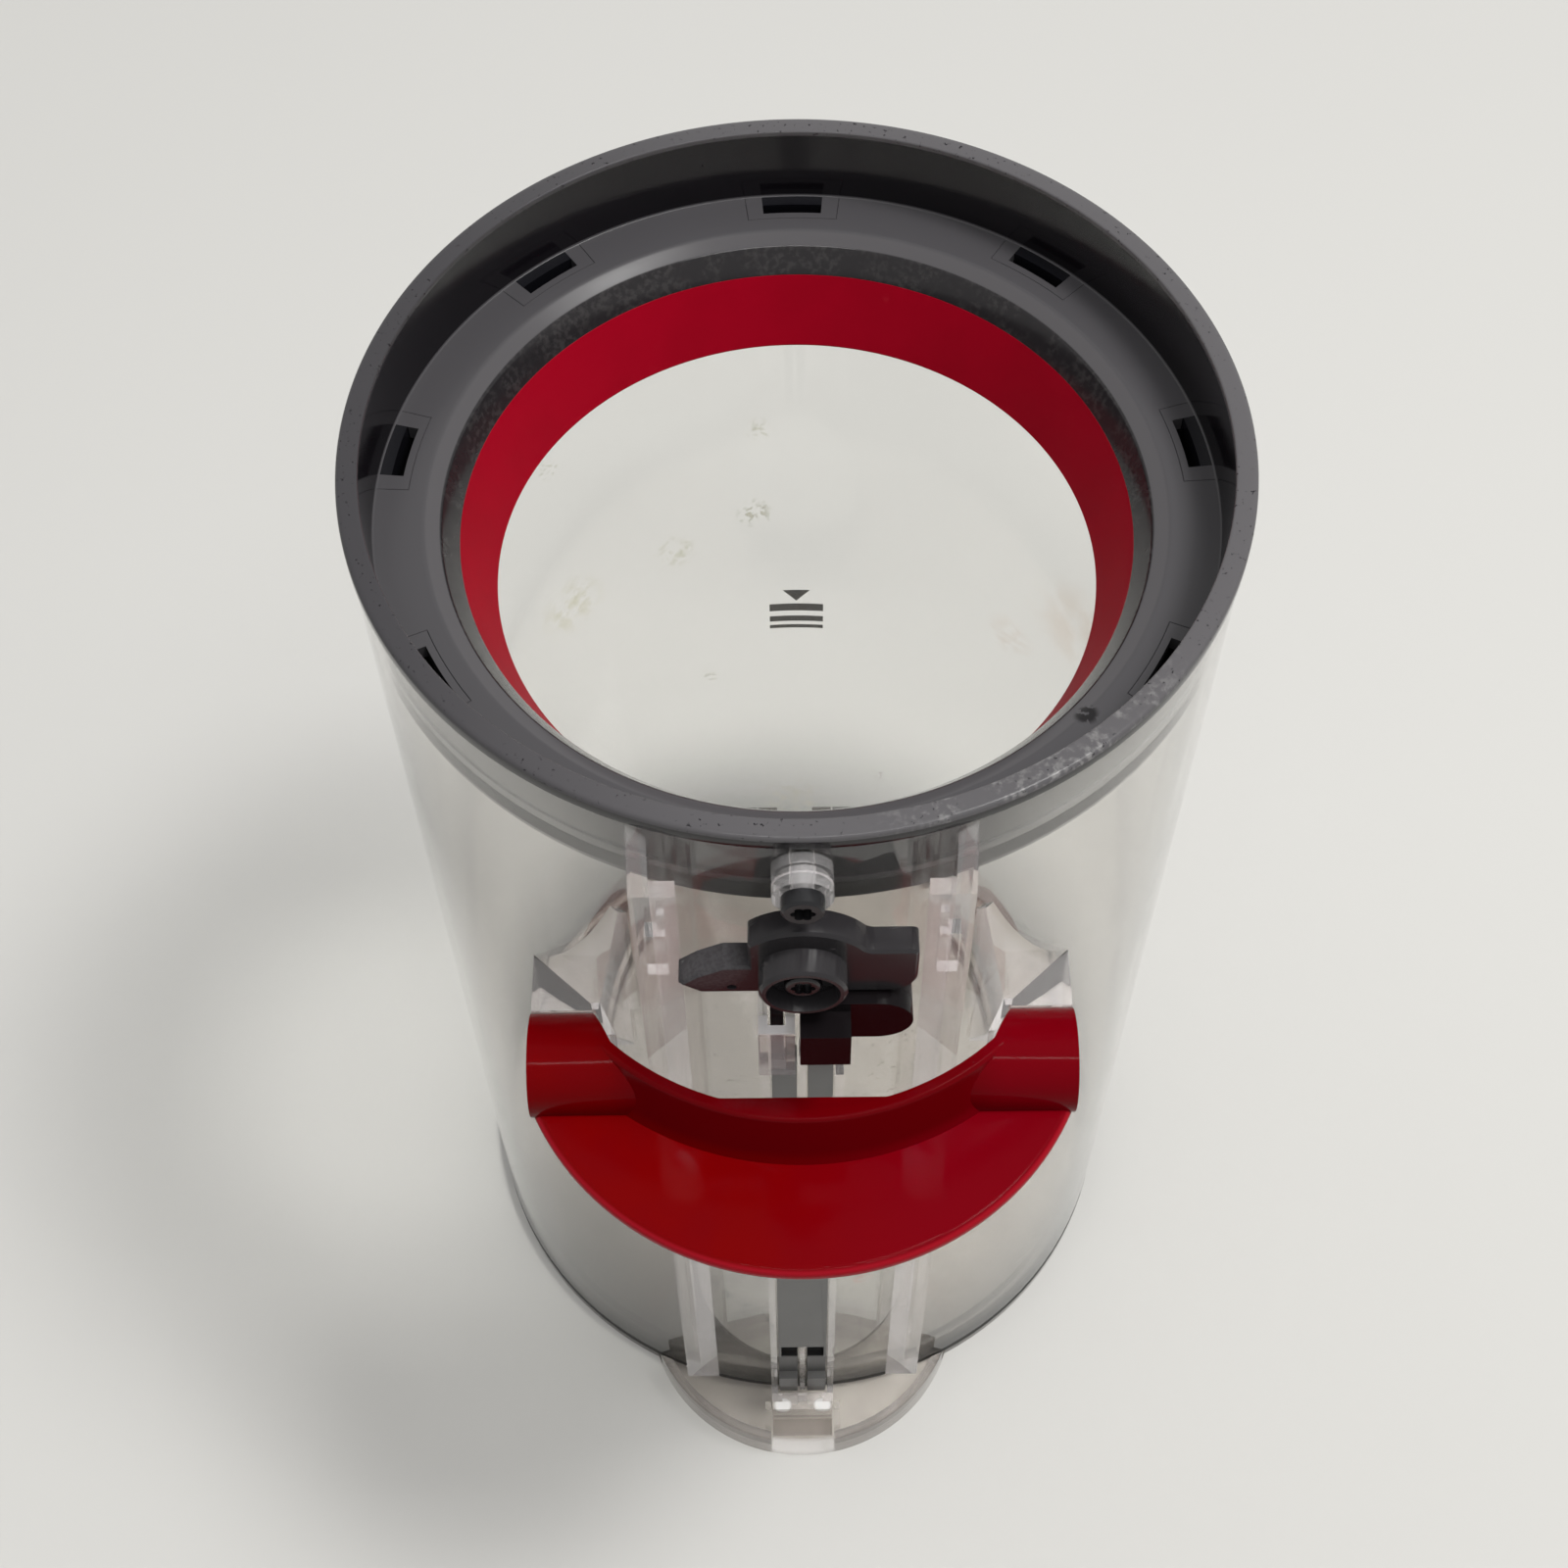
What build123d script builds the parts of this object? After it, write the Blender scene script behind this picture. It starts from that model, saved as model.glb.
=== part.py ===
from build123d import *
import os
from math import cos, radians, sin, sqrt

# Clear cyclone dust bin of a stick vacuum cleaner, standing on its lid.
# Millimetres. Origin on the bin's axis at the floor, +Z up the bin, runner side towards -Y.

# Clearances
fit = 0.1  # parts pushed together and left there
run = 0.05  # radial clearance of a turning fit
slip = 0.3  # faces that pass each other

# Tube
bin_height = 203.0  # floor to the top of the rim
tube_r = 58.2
tube_wall = 1.5

# Lid, seal and inlet
lid_plate = 1.8
seal_height = 1.6
seal_gap = 0.2  # tube foot above the seal
plug_wall = 1.6
plug_height = 5.8  # plug wall above the lid plate, inside the tube
inlet_in = 16.2  # tube's face in to the centre of the inlet bulge
inlet_r = 28.5
inlet_wall = 1.6
inlet_height = 7.5
port_r = 17.5  # bore that takes the wand
port_wall = 1.8
port_height = 8.0
flap_thick = 1.4
flap_bead_r = 1.1
flap_bead_half = 10.0
flap_lug = 2.0
flap_lug_wall = 1.3

# Collar and wiper
flange_height = 2.2  # rim flange that caps the tube
rim_overhang = 0.3
socket_wall = 1.1  # tube's bore to the socket that takes the cyclone
socket_depth = 12.1  # rim to ledge
rim_chamfer = 0.3
rim_round = 0.7
skirt_wall = 0.7
ledge_thick = 2.2
ledge_width = 6.7
throat_in = 2.2  # bright chamfer, inwards and down
throat_drop = 1.2
throat_taper = 2.1
collar_drop = 4.6  # ledge to the collar's foot
band_lip = 0.8
band_top = 1.0  # ledge down to the groove of the rubber band
band_wall = 0.7
seal_band = 2.0  # thickness of the rubber band round the collar
slot_count = 9
slot_inset = 1.8  # socket's wall to a slot
slot_width = 1.6
slot_angle = 9.0
wiper_taper = 3.9
wiper_height = 10.4
wiper_wall = 1.5
wiper_root = 3.0
wiper_root_height = 1.4
wiper_lap = 0.6  # wiper's flange under the collar's band wall

# Collar screw and its boss
screw_drop = 6.5  # rim to the screw's axis
boss_r = 3.7
boss_reach = 4.4  # boss stands this far out of the tube
boss_groove = 0.5
screw_r = 1.4
screw_head_r = 2.6
screw_head_height = 2.1
lobe_r = 0.55
lobe_ring_r = 0.95
lobe_depth = 1.2

# Runner rails and their stops
rail_x = 20.6  # outer face of a rail
rail_web = 2.4
rail_lip_x = 15.0
rail_lip = 1.2
rail_reach = 1.8  # front of the lip in front of the tube
rail_slope = 8.3  # length of the rail's sloped upper end
rail_foot = 10.4  # rail ends this far above the tube's foot
stop_x = 16.4
stop_width = 2.6
stop_height = 9.8
stop_reach = 2.0
stop_tab = 1.0
stop_tab_height = 3.5

# Release lever
lever_drop = 21.5  # rim to the lever's pivot
lever_gap = 2.3  # tube to the lever's back
lever_thick = 3.5
hub_arc_r = 8.8
hub_left = 6.6
arm_right = 14.0
arm_top = 4.1
arm_corner = 3.5
lever_low = 6.1  # pivot down to the lever's lower edge
beak_x = 15.2
beak_root = 9.7
beak_top = 0.4
beak_point = 3.9
beak_foot = 12.6
beak_knee_x = 12.9
beak_knee = 1.6
hub_blend = 1.5
arm_round = 0.9
dimple_x = 8.7
dimple_low = 4.6
dimple_r = 0.6
cup_r = 5.4
cup_bore_r = 4.5
cup_reach = 3.5
cup_depth = 3.0
lever_edge = 0.4
post_r = 2.0
washer_thick = 0.6
pivot_screw_r = 1.2
pivot_head_r = 2.3
pivot_head_height = 1.5
coil_wire_r = 0.25
coil_r = 3.1
coil_turns = 2.0
coil_pitch = 0.56
coil_leg = 6.5
peg_x = 5.2
peg_r = 0.7

# Push rod
rod_width = 8.3
rod_thick = 1.8
rod_gap = 1.0  # tube to the rod's back
rod_foot = 4.4  # prong ends above the tube's foot
rod_travel = 4.0
prong_length = 24.3
prong_gap = 1.7
rod_slot = 1.5
rod_slot_length = 62.0
wedge_rise = 1.4
wedge_drop = 4.0  # wedge starts this far above the prong's end
wedge_length = 7.4
notch_height = 4.6  # dark recess at the top of each prong
notch_depth = 1.2
notch_side = 0.45
head_height = 9.2
head_reach = 6.4  # D arm, front to back
head_right = 13.7
block_width = 6.3
block_height = 7.7
block_reach = 3.6
block_left = 0.4
block_lower = 0.5
leg_width = 1.7
leg_length = 24.7
bar_height = 2.7

# Rod guides on the tube
guide_wall = 1.1
guide_drop = 20.6  # head's foot down to the top of the right-hand guide
loop_drop = 19.5  # head's top down to the guide loop
loop_height = 12.2
loop_reach = 7.8
loop_wall = 1.2
loop_right = 1.0
rib_wall = 0.9
rib_length = 42.0
rib_drop = 25.0  # head's top down to the upper centre rib
strap_height = 1.8
strap_thick = 1.5
strap_gap = 2.2  # strap above the tube's foot

# Lid catch
catch_half = 5.4
catch_thick = 1.4
catch_gap = 0.8
catch_foot = 1.2
catch_foot_reach = 4.0
tooth_width = 2.8
tooth_height = 1.9
notch_cheek = 1.1

# Lid hinge
hinge_reach = 4.6  # pin axis outside the tube
pin_r = 1.5
knuckle_r = 3.2
knuckle_in = 3.7
knuckle_length = 4.0
lug_length = 4.0
lug_rise = 6.5
hinge_coil_wire_r = 0.3
hinge_coil_r = 2.1
hinge_coil_pitch = 0.75
hinge_coil_turns = 5.5
hinge_leg = 4.1
seat_half = 3.2  # half width of the pads the spring's legs press on
seat_rise = 4.0

# Ears and handle
handle_drop = 56.0  # rim to the axis of the handle's round ends
ear_x = 36.2
ear_in_x = 23.0
ear_inset = 4.2  # tube's front in to the ears' flat front
ear_rise = 3.8  # ear's shoulder above the handle's axis
ear_fall = 7.0
gusset_x = 25.4  # gusset's upper point on the tube
gusset_rise = 26.0
gusset_top = 31.0
cheek_rise = 6.0  # cheek's top above the handle's axis
tongue_in = 29.0
tongue_out = 34.6
tongue_half = 2.0
tongue_reach = 7.6
barrel_r = 7.0
barrel_out = 6.2  # ears' front to the axis of the round ends
bow_x = 25.2  # half width between the round ends, at their axis
bow_slant = 3.0  # the gap widens by this much towards the ears
bow_sag = 9.9  # bow's inner face in front of that axis
bow_wall = 1.6
bow_foot = 5.3
bow_step = 0.8
cheek_wall = 1.2
cheek_reach = 4.7
bow_flat = 2.0  # depth of the flat in the bow's inner face
bow_round = 0.7
crescent_behind = 10.2
crescent_r = 39.5
crescent_drop = 1.0  # crescent's top below the barrels' axis
crescent_thick = 2.6
crescent_edge = 1.1

# Heights and faces that several parts share
tube_in = tube_r - tube_wall
socket_r = tube_in - socket_wall
ledge_in_r = socket_r - ledge_width
throat_r = ledge_in_r - throat_in
wiper_r = throat_r - throat_taper
wiper_tip_r = wiper_r - wiper_taper
slot_out_r = socket_r - slot_inset
slot_in_r = slot_out_r - slot_width
plug_r = tube_in - slip
inlet_y = inlet_in - tube_r
port_y = port_r + port_wall + plug_wall - plug_r - fit
ear_y = tube_r - ear_inset
barrel_y = ear_y + barrel_out
bow_r = (bow_x**2 + bow_sag**2) / (2 * bow_sag)
bow_y = barrel_y + bow_sag - bow_r
bow_flat_y = barrel_y + bow_sag - bow_flat
crescent_y = barrel_y - crescent_behind
foot_z = lid_plate + seal_height + seal_gap
tube_top = bin_height - flange_height
ledge_z = bin_height - socket_depth
collar_foot = ledge_z - collar_drop
screw_z = bin_height - screw_drop
pivot_z = bin_height - lever_drop
axis_z = bin_height - handle_drop
rail_y = tube_r + rail_reach
lever_back = tube_r + lever_gap
lever_front = lever_back + lever_thick
cup_front = lever_front + cup_reach
cup_floor = cup_front - cup_depth
post_end = cup_floor + run
rod_back = tube_r + rod_gap
rod_front = rod_back + rod_thick
peg_z = peg_r + coil_wire_r + run - coil_r
rod_half = rod_width / 2
head_top = pivot_z - lever_low - slip
head_foot = head_top - head_height
prong_end = foot_z + rod_foot
leg_foot = head_top - leg_length
guide_x = rod_half + slip
strap_z = foot_z + strap_gap
loop_z = head_top - loop_drop
strap_front = rod_front + slip + strap_thick
catch_back = strap_front + catch_gap
hinge_y = tube_r + hinge_reach
hinge_z = foot_z
crescent_z = axis_z - crescent_drop
flap_z = port_height + fit
flap_hinge_y = port_y + port_r + port_wall + flap_bead_r + slip


def block(x0, x1, y0, y1, z0, z1):
    """Box between two opposite corners."""
    place = Pos((x0 + x1) / 2, (y0 + y1) / 2, (z0 + z1) / 2)
    return place * Box(x1 - x0, y1 - y0, z1 - z0)


def tube(r_out, r_in, z0, z1, x=0, y=0):
    """Upright tube."""
    return Pos(x, y, z0) * extrude(Circle(r_out) - Circle(r_in), z1 - z0)


def disc(r, z0, z1, x=0, y=0):
    """Upright cylinder."""
    return Pos(x, y, z0) * extrude(Circle(r), z1 - z0)


def bar_y(r, near, far, x, z):
    """Cylinder along Y, from near to far in front of the axis."""
    return extrude(Plane.XZ.offset(near) * Pos(x, z) * Circle(r), far - near)


def bar_x(r, x0, x1, y, z):
    """Cylinder along X."""
    return extrude(Plane.YZ.offset(x0) * Pos(y, z) * Circle(r), x1 - x0)


def turned(*points):
    """Solid of revolution about Z from an outline of radius and height pairs."""
    outline = Plane.XZ * make_face(Polyline(*points, close=True))
    return revolve(outline, Axis.Z, 360)


def rounded(face, spot, radius):
    """Flat face with the corner nearest to a spot rounded."""
    return fillet(face.vertices().sort_by_distance(spot)[0], radius)


def both_sides(part):
    """The part and its mirror image across the middle plane."""
    return part + mirror(part, about=Plane.YZ)


def rail():
    """Right-hand runner rail: a web out of the tube with a lip turned inwards, and its stop."""
    z0 = foot_z + rail_foot
    rail_back = -sqrt(tube_r**2 - rail_x**2)
    web = block(rail_x - rail_web, rail_x, -rail_y, -tube_in / 2, z0, tube_top)
    lip = block(rail_lip_x, rail_x, -rail_y, rail_lip - rail_y, z0, tube_top)
    slope = Polyline(
        (-rail_y, tube_top - rail_slope),
        (-rail_y, tube_top),
        (rail_back, tube_top),
        close=True,
    )
    ramp = Pos(rail_lip_x) * extrude(Plane.YZ * make_face(slope), rail_x - rail_lip_x)
    stop_foot = pivot_z - stop_height / 2
    stop_top = stop_foot + stop_height
    stop_front = -rail_y - stop_reach
    body = block(stop_x, stop_x + stop_width, stop_front, -rail_y, stop_foot, stop_top)
    tab_y = -rail_y - stop_tab
    tab = block(stop_x, stop_x + stop_tab, tab_y, -rail_y, stop_top, stop_top + stop_tab_height)
    return web + lip - ramp + body + tab


def ear():
    """Right-hand ear: flat-fronted shelf, a sloped gusset up the tube, a cheek and a tongue for the handle."""
    low = axis_z - ear_fall
    shoulder = axis_z + ear_rise
    shelf = block(ear_in_x, ear_x, -ear_y, -tube_in / 2, low, shoulder)
    back_x = bow_x + bow_slant - fit - run
    front_x = back_x - bow_slant * cheek_reach / barrel_out
    cheek_top = axis_z + cheek_rise
    foot = Vector(ear_x, -sqrt(tube_r**2 - ear_x**2), shoulder)
    front = Vector(back_x - cheek_wall, -ear_y, cheek_top)
    peak = Vector(gusset_x, -sqrt(tube_r**2 - gusset_x**2), axis_z + gusset_rise)
    face = Plane(foot, x_dir=front - foot, z_dir=(front - foot).cross(peak - foot))
    gusset = block(rail_x - rail_web, ear_x, -ear_y, -tube_in / 2, shoulder - slip, axis_z + gusset_top)
    gusset = split(gusset, bisect_by=face, keep=Keep.TOP)
    tongue = block(
        tongue_in, tongue_out, -ear_y - tongue_reach, -ear_y, axis_z - tongue_half, axis_z + tongue_half
    )
    outline = Polyline(
        (back_x, -ear_y),
        (front_x, -ear_y - cheek_reach),
        (front_x - cheek_wall, -ear_y - cheek_reach),
        (back_x - cheek_wall, -ear_y),
        close=True,
    )
    cheek = Pos(0, 0, low) * extrude(make_face(outline), cheek_top - low)
    return shelf + gusset + tongue + cheek


def screw_boss():
    """Stepped boss under the rim for the collar screw."""
    front = tube_r + boss_reach
    middle = tube_r + boss_reach / 2
    boss = bar_y(boss_r, tube_in, front, 0, screw_z)
    waist = bar_y(boss_r, middle - boss_groove, middle + boss_groove, 0, screw_z)
    neck = bar_y(boss_r - boss_groove, middle - boss_groove, middle + boss_groove, 0, screw_z)
    return boss - (waist - neck)


def rod_guides():
    """Guides of the push rod: two side ribs, centre ribs, the guide loop and the strap at the foot."""
    front = rod_front + slip
    outer = guide_x + guide_wall
    right = block(guide_x, outer, -front, -tube_in, strap_z, head_foot - guide_drop)
    left = block(-outer, -guide_x, -front, -tube_in, strap_z, loop_z)
    strap = block(-outer, outer, -strap_front, -front, strap_z, strap_z + strap_height)
    rib_top = head_top - rib_drop
    rib_front = rod_front - slip
    upper_rib = block(-rib_wall / 2, rib_wall / 2, -rib_front, -tube_in, rib_top - rib_length, rib_top)
    rib_top = prong_end + prong_length - rod_travel - slip
    lower_rib = block(-rib_wall / 2, rib_wall / 2, -rib_front, -tube_in, strap_z + strap_height, rib_top)
    loop_front = tube_r + loop_reach
    loop_left = -guide_x - loop_wall
    loop = block(loop_left, -loop_right, -loop_front, -tube_in, loop_z, loop_z + loop_height)
    loop -= block(
        -guide_x, -loop_right - loop_wall, loop_wall - loop_front, -tube_in, loop_z, loop_z + loop_height
    )
    return right + left + strap + upper_rib + lower_rib + loop


def hinge_lugs():
    """The tube's two lugs that hold the hinge pin."""
    start = knuckle_in + knuckle_length + slip
    lug = bar_x(knuckle_r, start, start + lug_length, hinge_y, hinge_z)
    outline = Polyline(
        (tube_in, hinge_z),
        (hinge_y + knuckle_r, hinge_z),
        (tube_in, hinge_z + lug_rise + knuckle_r),
        close=True,
    )
    lug += extrude(Plane.YZ.offset(start) * make_face(outline), lug_length)
    under_tube = block(start, start + lug_length, 0, tube_r + slip, 0, foot_z)
    seat_z = hinge_z + hinge_coil_r + hinge_coil_wire_r + run
    seat = block(-seat_half, seat_half, tube_in, hinge_y - pin_r, seat_z, seat_z + seat_rise)
    return both_sides(lug - under_tube) + seat


def bin_shell():
    """Clear moulding: the tube with everything that stands out of it."""
    shell = disc(tube_r, foot_z, tube_top)
    shell += both_sides(rail())
    shell += both_sides(ear())
    shell += screw_boss()
    shell += bar_y(post_r, tube_in, post_end, 0, pivot_z)
    shell += bar_y(peg_r, tube_in, lever_back - slip, -peg_x, pivot_z + peg_z)
    shell += rod_guides()
    shell += hinge_lugs()
    shell -= disc(tube_in, 0, bin_height)
    shell -= bar_y(screw_r + run, socket_r, tube_r + boss_reach, 0, screw_z)
    shell -= bar_y(pivot_screw_r + run, tube_r + tube_wall / 2, post_end, 0, pivot_z)
    shell -= bar_x(pin_r + run, -tube_r, tube_r, hinge_y, hinge_z)
    return shell


def top_collar():
    """Dark ring: rim flange, socket for the cyclone, slotted ledge and throat."""
    rim_r = tube_r + rim_overhang
    lip_r = tube_in - fit
    seat_r = lip_r - seal_band
    skirt_r = socket_r + skirt_wall
    under = ledge_z - ledge_thick
    root_r = wiper_r + wiper_root
    collar = turned(
        (rim_r, bin_height),
        (socket_r + rim_chamfer, bin_height),
        (socket_r, bin_height - rim_chamfer),
        (socket_r, ledge_z),
        (ledge_in_r, ledge_z),
        (throat_r, ledge_z - throat_drop),
        (wiper_r, collar_foot),
        (root_r, collar_foot),
        (root_r, under),
        (seat_r - band_wall, under),
        (seat_r - band_wall, collar_foot),
        (lip_r, collar_foot),
        (lip_r, collar_foot + band_lip),
        (seat_r, collar_foot + band_lip),
        (seat_r, ledge_z - band_top),
        (lip_r, ledge_z - band_top),
        (lip_r, ledge_z + band_lip),
        (skirt_r, ledge_z + band_lip),
        (skirt_r, tube_top),
        (rim_r, tube_top),
    )
    rim_edges = collar.edges().group_by(Axis.Z)[-1]
    collar = fillet(rim_edges.sort_by(SortBy.RADIUS)[-1], rim_round)
    half = slot_angle / 2
    wedge_r = 2 * slot_out_r
    wedge = make_face(
        Polyline(
            (0, 0),
            (wedge_r * cos(radians(half)), -wedge_r * sin(radians(half))),
            (wedge_r * cos(radians(half)), wedge_r * sin(radians(half))),
            close=True,
        )
    )
    slot = extrude((Circle(slot_out_r) - Circle(slot_in_r)) & wedge, ledge_thick)
    for k in range(slot_count):
        collar -= Rot(0, 0, 90 + k * 360 / slot_count) * Pos(0, 0, under) * slot
    collar -= bar_y(screw_r + run, socket_r - skirt_wall, tube_r, 0, screw_z)
    return collar


def collar_seal():
    """Rubber band in the collar's groove, against the tube's bore."""
    lip_r = tube_in - run
    seat_r = tube_in - fit - seal_band + run
    return tube(lip_r, seat_r, collar_foot + band_lip, ledge_z - band_top)


def wiper_ring():
    """Red elastomer cone that hangs from the collar's throat, with a flange under the collar's hollow foot."""
    tip_z = collar_foot - wiper_height
    flange_r = tube_in - fit - seal_band - band_wall + wiper_lap
    return turned(
        (wiper_r, collar_foot),
        (flange_r, collar_foot),
        (flange_r, collar_foot - wiper_root_height),
        (wiper_r + wiper_wall, collar_foot - wiper_root_height),
        (wiper_tip_r + wiper_wall, tip_z - wiper_wall / 3),
        (wiper_tip_r + wiper_wall / 3, tip_z - wiper_wall / 3),
        (wiper_tip_r, tip_z),
    )


def six_lobe(depth, front, z):
    """Six-lobe recess cut from the front of a screw head."""
    recess = Circle(lobe_ring_r)
    for k in range(6):
        angle = radians(60 * k)
        recess += Pos(lobe_ring_r * cos(angle), lobe_ring_r * sin(angle)) * Circle(lobe_r)
    return extrude(Plane.XZ.offset(front - depth) * Pos(0, z) * recess, depth)


def collar_screw():
    """Black screw that locks the collar to the tube."""
    seat = tube_r + boss_reach
    front = seat + screw_head_height
    screw = bar_y(screw_head_r, seat, front, 0, screw_z)
    screw = chamfer(screw.edges().sort_by(Axis.Y)[0], screw_head_height / 6)
    screw += bar_y(screw_r, socket_r + skirt_wall / 2, seat, 0, screw_z)
    return screw - six_lobe(lobe_depth, front, screw_z)


def release_lever():
    """Dark grey lever: pointed left arm, square right arm, cup-shaped hub."""
    left_z = sqrt(hub_arc_r**2 - hub_left**2)
    right_x = sqrt(hub_arc_r**2 - arm_top**2)
    dome = ThreePointArc((-hub_left, left_z), (0, hub_arc_r), (right_x, arm_top))
    turn_x = arm_right - arm_corner
    turn_z = arm_corner - lever_low
    knee = 1 / sqrt(2)
    corner = ThreePointArc(
        (arm_right, turn_z),
        (turn_x + arm_corner * knee, turn_z - arm_corner * knee),
        (turn_x, -lever_low),
    )
    right_side = Polyline((right_x, arm_top), (arm_right, arm_top), (arm_right, turn_z))
    left_side = Polyline(
        (turn_x, -lever_low),
        (-beak_foot, -lever_low),
        (-beak_x, -beak_point),
        (-beak_knee_x, -beak_knee),
        (-beak_root, beak_top),
        (-hub_left, beak_top),
        (-hub_left, left_z),
    )
    outline = make_face(dome + right_side + corner + left_side)
    outline = rounded(outline, (right_x, arm_top), hub_blend)
    outline = rounded(outline, (arm_right, arm_top), arm_round)
    outline = rounded(outline, (-hub_left, left_z), arm_round)
    lever = extrude(Plane.XZ.offset(lever_back) * Pos(0, pivot_z) * outline, lever_thick)
    lever = chamfer(lever.faces().sort_by(Axis.Y)[0].edges(), lever_edge)
    cup = bar_y(cup_r, lever_back, cup_front, 0, pivot_z)
    cup = chamfer(cup.edges().sort_by(Axis.Y)[0], lever_edge)
    lever += cup
    lever += bar_y(peg_r, tube_r + slip, lever_back, peg_x, pivot_z + peg_z)
    lever -= bar_y(dimple_r, lever_front - dimple_r, lever_front, -dimple_x, pivot_z - dimple_low)
    lever -= bar_y(cup_bore_r, cup_floor, cup_front, 0, pivot_z)
    return lever - bar_y(post_r + run, lever_back, cup_floor, 0, pivot_z)


def lever_washer():
    """Washer on the post's end that keeps the lever on."""
    washer = bar_y(cup_bore_r - slip, post_end, post_end + washer_thick, 0, pivot_z)
    return washer - bar_y(pivot_screw_r + run, post_end, post_end + washer_thick, 0, pivot_z)


def lever_screw():
    """Screw that holds the lever on its post."""
    seat = post_end + washer_thick
    front = seat + pivot_head_height
    screw = bar_y(pivot_head_r, seat, front, 0, pivot_z)
    screw = fillet(screw.edges().sort_by(Axis.Y)[0], pivot_head_height / 3)
    screw += bar_y(pivot_screw_r, tube_r + tube_wall, seat, 0, pivot_z)
    return screw - six_lobe(pivot_head_height / 2, front, pivot_z)


def torsion_spring(mean_r, wire_r, pitch, turns, leg):
    """Round-wire coil about Z from z = 0, with a straight leg at each end."""
    path = Helix(pitch, pitch * turns, mean_r)
    section = Plane(origin=path @ 0, z_dir=path % 0) * Circle(wire_r)
    spring = sweep(section, path=path, is_frenet=True)
    spring += extrude(section, -leg)
    return spring + extrude(Plane(origin=path @ 1, z_dir=path % 1) * Circle(wire_r), leg)


def lever_spring():
    """Torsion spring round the lever's post, a leg under the tube's peg and one under the lever's."""
    length = coil_pitch * coil_turns
    spring = torsion_spring(coil_r, coil_wire_r, coil_pitch, coil_turns, coil_leg)
    start = (lever_gap - length) / 2 + tube_r
    return Plane.XZ.offset(start) * Pos(0, pivot_z) * Rot(0, 0, -90) * spring


def push_rod():
    """Grey strip: slotted upper end, two wedge-nosed prongs at the foot."""
    y0, y1 = -rod_front, -rod_back
    rod = block(-rod_half, rod_half, y0, y1, prong_end, head_foot)
    rod -= block(-rod_half, -rod_slot / 2, y0, y1, leg_foot, head_foot)
    rod -= block(-rod_slot / 2, rod_slot / 2, y0, y1, head_foot - rod_slot_length, head_foot)
    wedge_z = prong_end + wedge_drop
    nose = Polyline(
        (-rod_front, wedge_z),
        (-rod_front - wedge_rise, wedge_z + wedge_rise * 2),
        (-rod_front - wedge_rise, wedge_z + wedge_length),
        (-rod_front, wedge_z + wedge_length),
        close=True,
    )
    rod += extrude(Plane.YZ.offset(-rod_half) * make_face(nose), rod_width)
    gap_top = prong_end + prong_length
    notch_x = rod_half - notch_side
    notch = block(prong_gap / 2, notch_x, y0, y0 + notch_depth, gap_top - notch_height, gap_top)
    rod -= both_sides(notch)
    return rod - block(-prong_gap / 2, prong_gap / 2, y0 - wedge_rise, y1, prong_end, gap_top)


def push_rod_head():
    """Dark head of the rod: D-shaped arm under the lever, square block in front, leg in the guide loop."""
    half = head_height / 2
    middle = head_top - half
    bend = head_right - half
    arm = block(-block_left, bend, -rod_back - head_reach, -rod_back, head_foot, head_top)
    arm += bar_y(half, rod_back, rod_back + head_reach, bend, middle)
    block_z = head_foot - block_lower
    front = rod_back + head_reach
    nose = block(
        -block_left, block_width - block_left, -front - block_reach, -front, block_z, block_z + block_height
    )
    lip = block(-block_left, block_width - block_left, -front, -rod_front - slip, block_z, head_foot)
    leg = block(-rod_half, leg_width - rod_half, -rod_front, -rod_back, leg_foot, head_top)
    bar = block(-rod_half, 0, -rod_front, -rod_back, head_top - bar_height, head_top)
    return arm + nose + lip + leg + bar


def handle():
    """Red handle: two round ends, a bow round the runner and a crescent plate."""
    top = axis_z + barrel_r
    low = crescent_z - crescent_thick
    barrel = bar_x(barrel_r, 0, ear_x, -barrel_y, axis_z)
    wall_r = bow_r + bow_wall
    bow = turned((0, low), (bow_r + bow_foot, low), (wall_r, top), (0, top))
    bow = Pos(0, -bow_y) * fillet(bow.edges().group_by(Axis.Z)[-1], bow_round)
    crescent = disc(crescent_r, low, crescent_z, 0, -crescent_y)
    crescent = fillet(crescent.edges(), crescent_edge)
    front = block(-ear_x, ear_x, -crescent_y - crescent_r, -barrel_y, low, top)
    red = both_sides(barrel) + ((bow + crescent) & front)
    apex = -barrel_y - bow_sag
    arc = ThreePointArc((-bow_x, -barrel_y), (0, apex), (bow_x, -barrel_y))
    back_x = bow_x + bow_slant
    sides = Polyline((bow_x, -barrel_y), (back_x, -ear_y), (-back_x, -ear_y), (-bow_x, -barrel_y))
    gap = Pos(0, 0, axis_z - barrel_r) * extrude(make_face(arc + sides), 2 * barrel_r)
    red -= gap - block(-bow_x, bow_x, apex, -bow_flat_y, low, top - bow_step)
    red -= block(-ear_x, ear_x, -ear_y - fit, 0, axis_z - barrel_r, top)
    pocket = block(
        tongue_in - fit,
        tongue_out + fit,
        -ear_y - tongue_reach - fit,
        -ear_y,
        axis_z - tongue_half - fit,
        axis_z + tongue_half + fit,
    )
    return red - both_sides(pocket)


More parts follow.
